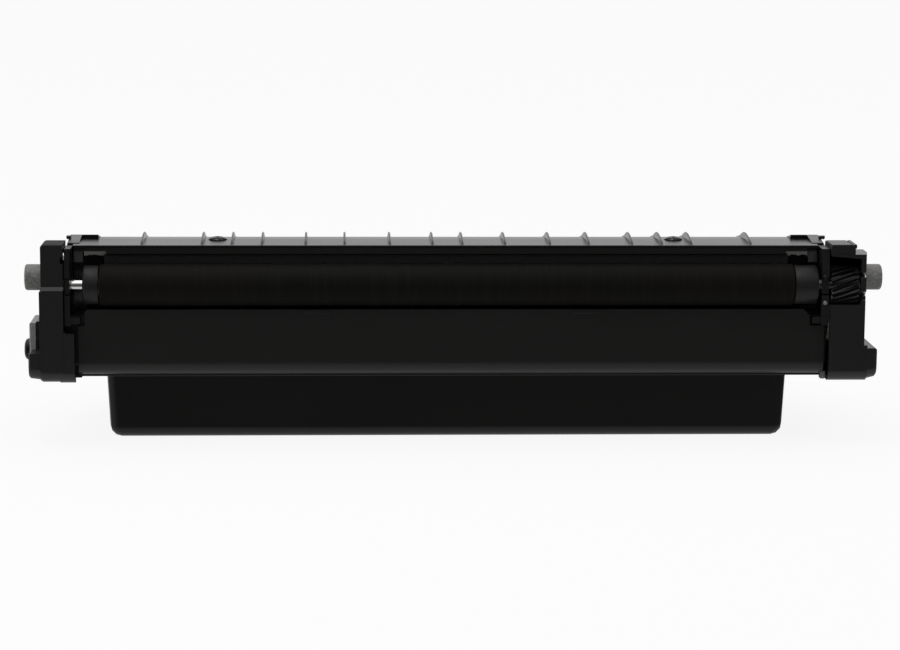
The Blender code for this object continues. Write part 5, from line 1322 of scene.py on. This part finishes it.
@dataclass
class EndFittings:
    """The locating pins, steel bush and filling plug, and the small forms on the right end."""

    pin_dia: float = 0.0088
    pin_axis: Span = (-0.0230, 0.0551)
    pin_rim: float = 0.0008
    pin_inner: Span = (-0.1331, 0.1387)
    pin_seat: Span = (-0.1349, 0.14075)
    pin_end: Span = (-0.1420, 0.1485)
    spigot_dia: float = 0.0050
    dish: float = 0.0003
    bush_axis: Span = (-0.0390, 0.0548)
    bush_dia: float = 0.0074
    bush_bore: float = 0.0046
    bush_x: Span = (0.1377, 0.1400)
    bush_edge: float = 0.00025
    plug_axis: Span = (0.0240, 0.0370)
    plug_x: Span = (-0.1273, -0.1231)
    plug_dia: float = 0.0150
    plug_flange_dia: float = 0.0180
    tongue: Box = ((0.1376, 0.1396), (-0.0447, -0.0425), (0.0531, 0.0580))
    peg_dia: float = 0.0014
    peg_high: float = 0.0005
    peg_y: float = -0.0440
    pegs: tuple[Span, Span] = ((0.1258, 0.0581), (0.1259, 0.0494))
    cap_y: Span = (-0.0444, -0.0325)
    cap_parts: tuple[tuple[Span, Span], ...] = (
        ((0.1278, 0.1345), (0.0685, 0.0690)),
        ((0.1349, 0.1361), (0.0677, 0.0690)),
    )

    def pin(self, side: Side) -> BMesh:
        """A pin with a rounded rim and a shallow dish in its end.

        Args:
            side: Which end.

        Returns:
            The closed mesh.
        """
        inner, seat, end = [side.of(pair) for pair in (self.pin_inner, self.pin_seat, self.pin_end)]
        out, half, spigot, rim = side.value, self.pin_dia / 2, self.spigot_dia / 2, self.pin_rim
        turns = spread(0.0, pi / 2, 6)
        rounding = [(end - out * rim * (1 - sin(a)), half - rim * (1 - cos(a))) for a in turns]
        floor = end - out * self.dish
        profile = [
            (inner, 0.0), (inner, spigot), (seat, spigot), (seat, half), *rounding,
            (end, half - 0.0014), (floor, half - 0.0017), (floor, 0.0),
        ]
        return lathed(profile, 72, self.pin_axis)

    def bush(self) -> BMesh:
        """The bright bush with chamfered rims."""
        inner, outer, edge, (left, right) = self.bush_bore / 2, self.bush_dia / 2, self.bush_edge, self.bush_x
        profile = [
            (left, inner), (left, outer), (right - edge, outer), (right, outer - edge), (right, inner + edge),
            (right - edge, inner),
        ]
        return lathed(profile, 72, self.bush_axis)

    def plug(self) -> BMesh:
        """The filling plug with its flange and dished face."""
        (face, end), flange, half = self.plug_x, self.plug_flange_dia / 2, self.plug_dia / 2
        profile = [
            (face - 0.0006, 0.0), (face - 0.0006, half - 0.0030), (face - 0.0012, half - 0.0024),
            (face - 0.0012, flange - 0.0004), (face - 0.0008, flange), (face, flange), (face, half),
            (end - 0.0004, half), (end, half - 0.0004), (end, half - 0.0018), (face + 0.0010, half - 0.0018),
            (face + 0.0010, 0.0),
        ]
        return lathed(profile, 64, self.plug_axis)

    def peg(self, x: float, z: float) -> BMesh:
        """A small domed peg on the front of an end plate.

        Args:
            x: Its place.
            z: Its height.

        Returns:
            The closed mesh.
        """
        half, high = self.peg_dia / 2, self.peg_high
        profile = [(-0.0006, 0.0), (-0.0006, half), (high * 0.5, half), (high, half * 0.6), (high, 0.0)]
        return posed(lathed(profile, 24), Facing.FRONT, (x, self.peg_y, z))

    def build(self, shop: Workshop) -> None:
        """Makes the fittings."""
        shop.add("bush_tongue", softened(cuboid(*self.tongue), 0.0003, 3), "cover_plastic")
        # The lower peg's pale grey pin finish is a painted highlight; the upper peg takes the dark collar
        # finish.
        for word, place, finish in zip(("upper", "lower"), self.pegs, ("collar_plastic", "pin_grey")):
            shop.add(f"plate_peg_{word}", self.peg(*place), finish)
        cap = gathered(softened(cuboid(x, self.cap_y, z), 0.0002, 3) for x, z in self.cap_parts)
        shop.add("bar_cap", cap, "frame_plastic")
        for side in Side:
            shop.add(f"{side.word}_pin", self.pin(side), "pin_grey", (f"locating_pin_{side.word}",))
        shop.add("steel_bush", self.bush(), "shaft_steel", ("bushing_right",))
        shop.add("filling_plug", self.plug(), "plug_plastic", ("fill_plug",))


@dataclass
class Housing:
    """The frame, both end covers and the small fixed pieces: (solid, finish, rounding, cut) and paint."""

    rounds: tuple[tuple, ...] = (
        ("main_frame", "frame_plastic", 0.00020, ((-0.1252, -0.1240), (-0.0460, -0.0360), (0.0450, 0.0665))),
        ("left_cover", "cover_plastic", 0.00022),
        ("right_cover", "cover_plastic", 0.00022, ((0.1370, 0.1412), (-0.0460, -0.0390), (0.0500, 0.0598))),
        ("bearing_left", "frame_plastic", 0.00012, ((-0.1253, -0.1230), (-0.0450, -0.0330), (0.0500, 0.0600))),
        ("bearing_right", "frame_plastic", 0.00012),
        ("contact_plate", "contact_plate", 0.00015),
    )
    painted: tuple[tuple[str, ...], ...] = (
        ("bracket_steel", "blade_bracket"),
        ("blade_steel", "doctor_blade"),
        ("seal_felt", "blade_foam", "end_seal_left", "end_seal_right"),
        ("seal_film", "lower_film_seal"),
        ("inner_gear_plastic", "idler_gear", "reduction_gear", "supply_gear", "agitator_gear"),
        ("supply_foam", "supply_roller"),
        ("shaft_steel", "supply_shaft"),
        ("agitator_plastic", "agitator_shaft"),
        ("agitator_film", "agitator_film"),
    )

    def build(self, shop: Workshop) -> None:
        """Refines the seen pieces and gives the inner ones a finish."""
        for row in self.rounds:
            shop.refine(*row)
        for finish, *nodes in self.painted:
            for node in nodes:
                shop.paint(node, finish)


# Studio


@dataclass
class Studio:
    """Pale floor, plain soft light and the camera; glows are (axis, from, to, level) of the world."""

    azimuth: float = -2.35
    elevation: float = 9.5
    roll: float = 0.318
    distance: float = 0.950
    target: Spot = (0.0, 0.0, 0.033)
    focal_px: float = 2721.7
    centre_px: Span = (442.9, 329.97)
    image_px: Span = (900.0, 650.0)
    sensor_mm: float = 36.0
    floor_size: float = 30.0
    floor_seen: float = 0.90
    ambient: float = 0.09
    glows: tuple[tuple[Axis, float, float, float], ...] = (
        (Axis.Z, 0.30, 0.75, 0.95),
        (Axis.Z, -0.24, -0.60, 0.80),
        (Axis.X, -0.62, -0.90, 0.60),
    )
    lamp_at: Spot = (-0.25, -0.25, 1.10)
    lamp_size: Span = (0.9, 0.6)
    lamp_watts: float = 3.0

    def camera(self) -> None:
        """Puts the camera at the photographed angle."""
        azimuth, elevation, roll = [radians(angle) for angle in (self.azimuth, self.elevation, self.roll)]
        back = Vector((sin(azimuth) * cos(elevation), -cos(azimuth) * cos(elevation), sin(elevation)))
        right = Vector((cos(azimuth), sin(azimuth), 0.0))
        up = back.cross(right)
        turned = (right * cos(roll) + up * sin(roll), up * cos(roll) - right * sin(roll), back)
        width, height = self.image_px
        data = bpy.data.cameras.new("camera")
        data.sensor_fit = "HORIZONTAL"
        data.sensor_width = self.sensor_mm
        data.lens = self.focal_px / width * self.sensor_mm
        data.shift_x = (width / 2 - self.centre_px[0]) / width
        data.shift_y = (self.centre_px[1] - height / 2) / width
        data.clip_start, data.clip_end = 0.01, 100.0
        camera = placed("camera", data)
        stand = Matrix.Translation(Vector(self.target) + back * self.distance)
        camera.matrix_world = stand @ Matrix(turned).transposed().to_4x4()
        bpy.context.scene.camera = camera

    def floor(self) -> None:
        """Lays the floor: white to the eye, with the object's soft shadow."""
        bm = bmesh.new()
        bmesh.ops.create_grid(bm, x_segments=1, y_segments=1, size=self.floor_size / 2)
        mesh = as_mesh("floor", bm)
        mesh.materials.append(bpy.data.materials.new("floor_white"))
        graph = Graph(mesh.materials[0])
        diffuse = graph.node("ShaderNodeBsdfDiffuse", {"Color": (0.82, 0.82, 0.82, 1.0)})
        glow = graph.node("ShaderNodeEmission", {"Color": WHITE, "Strength": 1.0})
        clear = graph.node("ShaderNodeBsdfTransparent")
        seen = graph.ray("Is Camera Ray") * self.floor_seen
        shown = graph.node("ShaderNodeMixShader", {0: seen, 1: diffuse, 2: glow})
        mirrored = graph.ray("Is Glossy Ray", "Is Transmission Ray")
        graph.finish("ShaderNodeOutputMaterial", mirrored, shown, clear)
        placed("floor", mesh)

    def world(self) -> None:
        """White background; the light comes from above, below and the left, less from the front."""
        world = bpy.data.worlds.new("studio")
        bpy.context.scene.world = world
        graph = Graph(world)
        way = graph.node("ShaderNodeTexCoord", output="Generated")
        level, *others = [way.part(axis).ramped(low, high) * most for axis, low, high, most in self.glows]
        for other in (*others, self.ambient):
            level = level.largest(other)
        behind = way.part(Axis.Y).ramped(0.15, 0.70) * way.part(Axis.Z).ramped(-0.35, -0.05)
        lit = graph.node("ShaderNodeBackground", {"Color": WHITE, "Strength": level})
        plain = graph.node("ShaderNodeBackground", {"Color": WHITE, "Strength": 1.0})
        mirrored = graph.ray("Is Glossy Ray", "Is Transmission Ray")
        seen = graph.ray("Is Camera Ray").largest(mirrored * behind)
        graph.finish("ShaderNodeOutputWorld", seen, lit, plain)

    def lamp(self) -> None:
        """Hangs a soft rectangular lamp that points at the cartridge."""
        data = bpy.data.lights.new("soft_top", "AREA")
        data.shape = "RECTANGLE"
        data.size, data.size_y = self.lamp_size
        data.energy = self.lamp_watts
        lamp = placed("soft_top", data)
        lamp.location = self.lamp_at
        away = Vector(self.lamp_at) - Vector(self.target)
        lamp.rotation_euler = away.to_track_quat("Z", "Y").to_euler()

    def build(self) -> None:
        """Sets the scene."""
        self.camera()
        self.floor()
        self.world()
        self.lamp()
        bpy.context.scene.view_settings.view_transform = "Standard"


def main() -> None:
    """Builds the studio and every sub-assembly, and notes how many pieces were made."""
    logging.basicConfig(level=logging.INFO, format="%(name)s %(message)s")
    shop = Workshop()
    Studio().build()
    for assembly in (Housing(), DeveloperRoller(), Lid(), FrontPanel(), EndFittings(), Fasteners()):
        assembly.build(shop)
    LOG.info("%d pieces", shop.count)


if __name__ == "__main__":
    main()
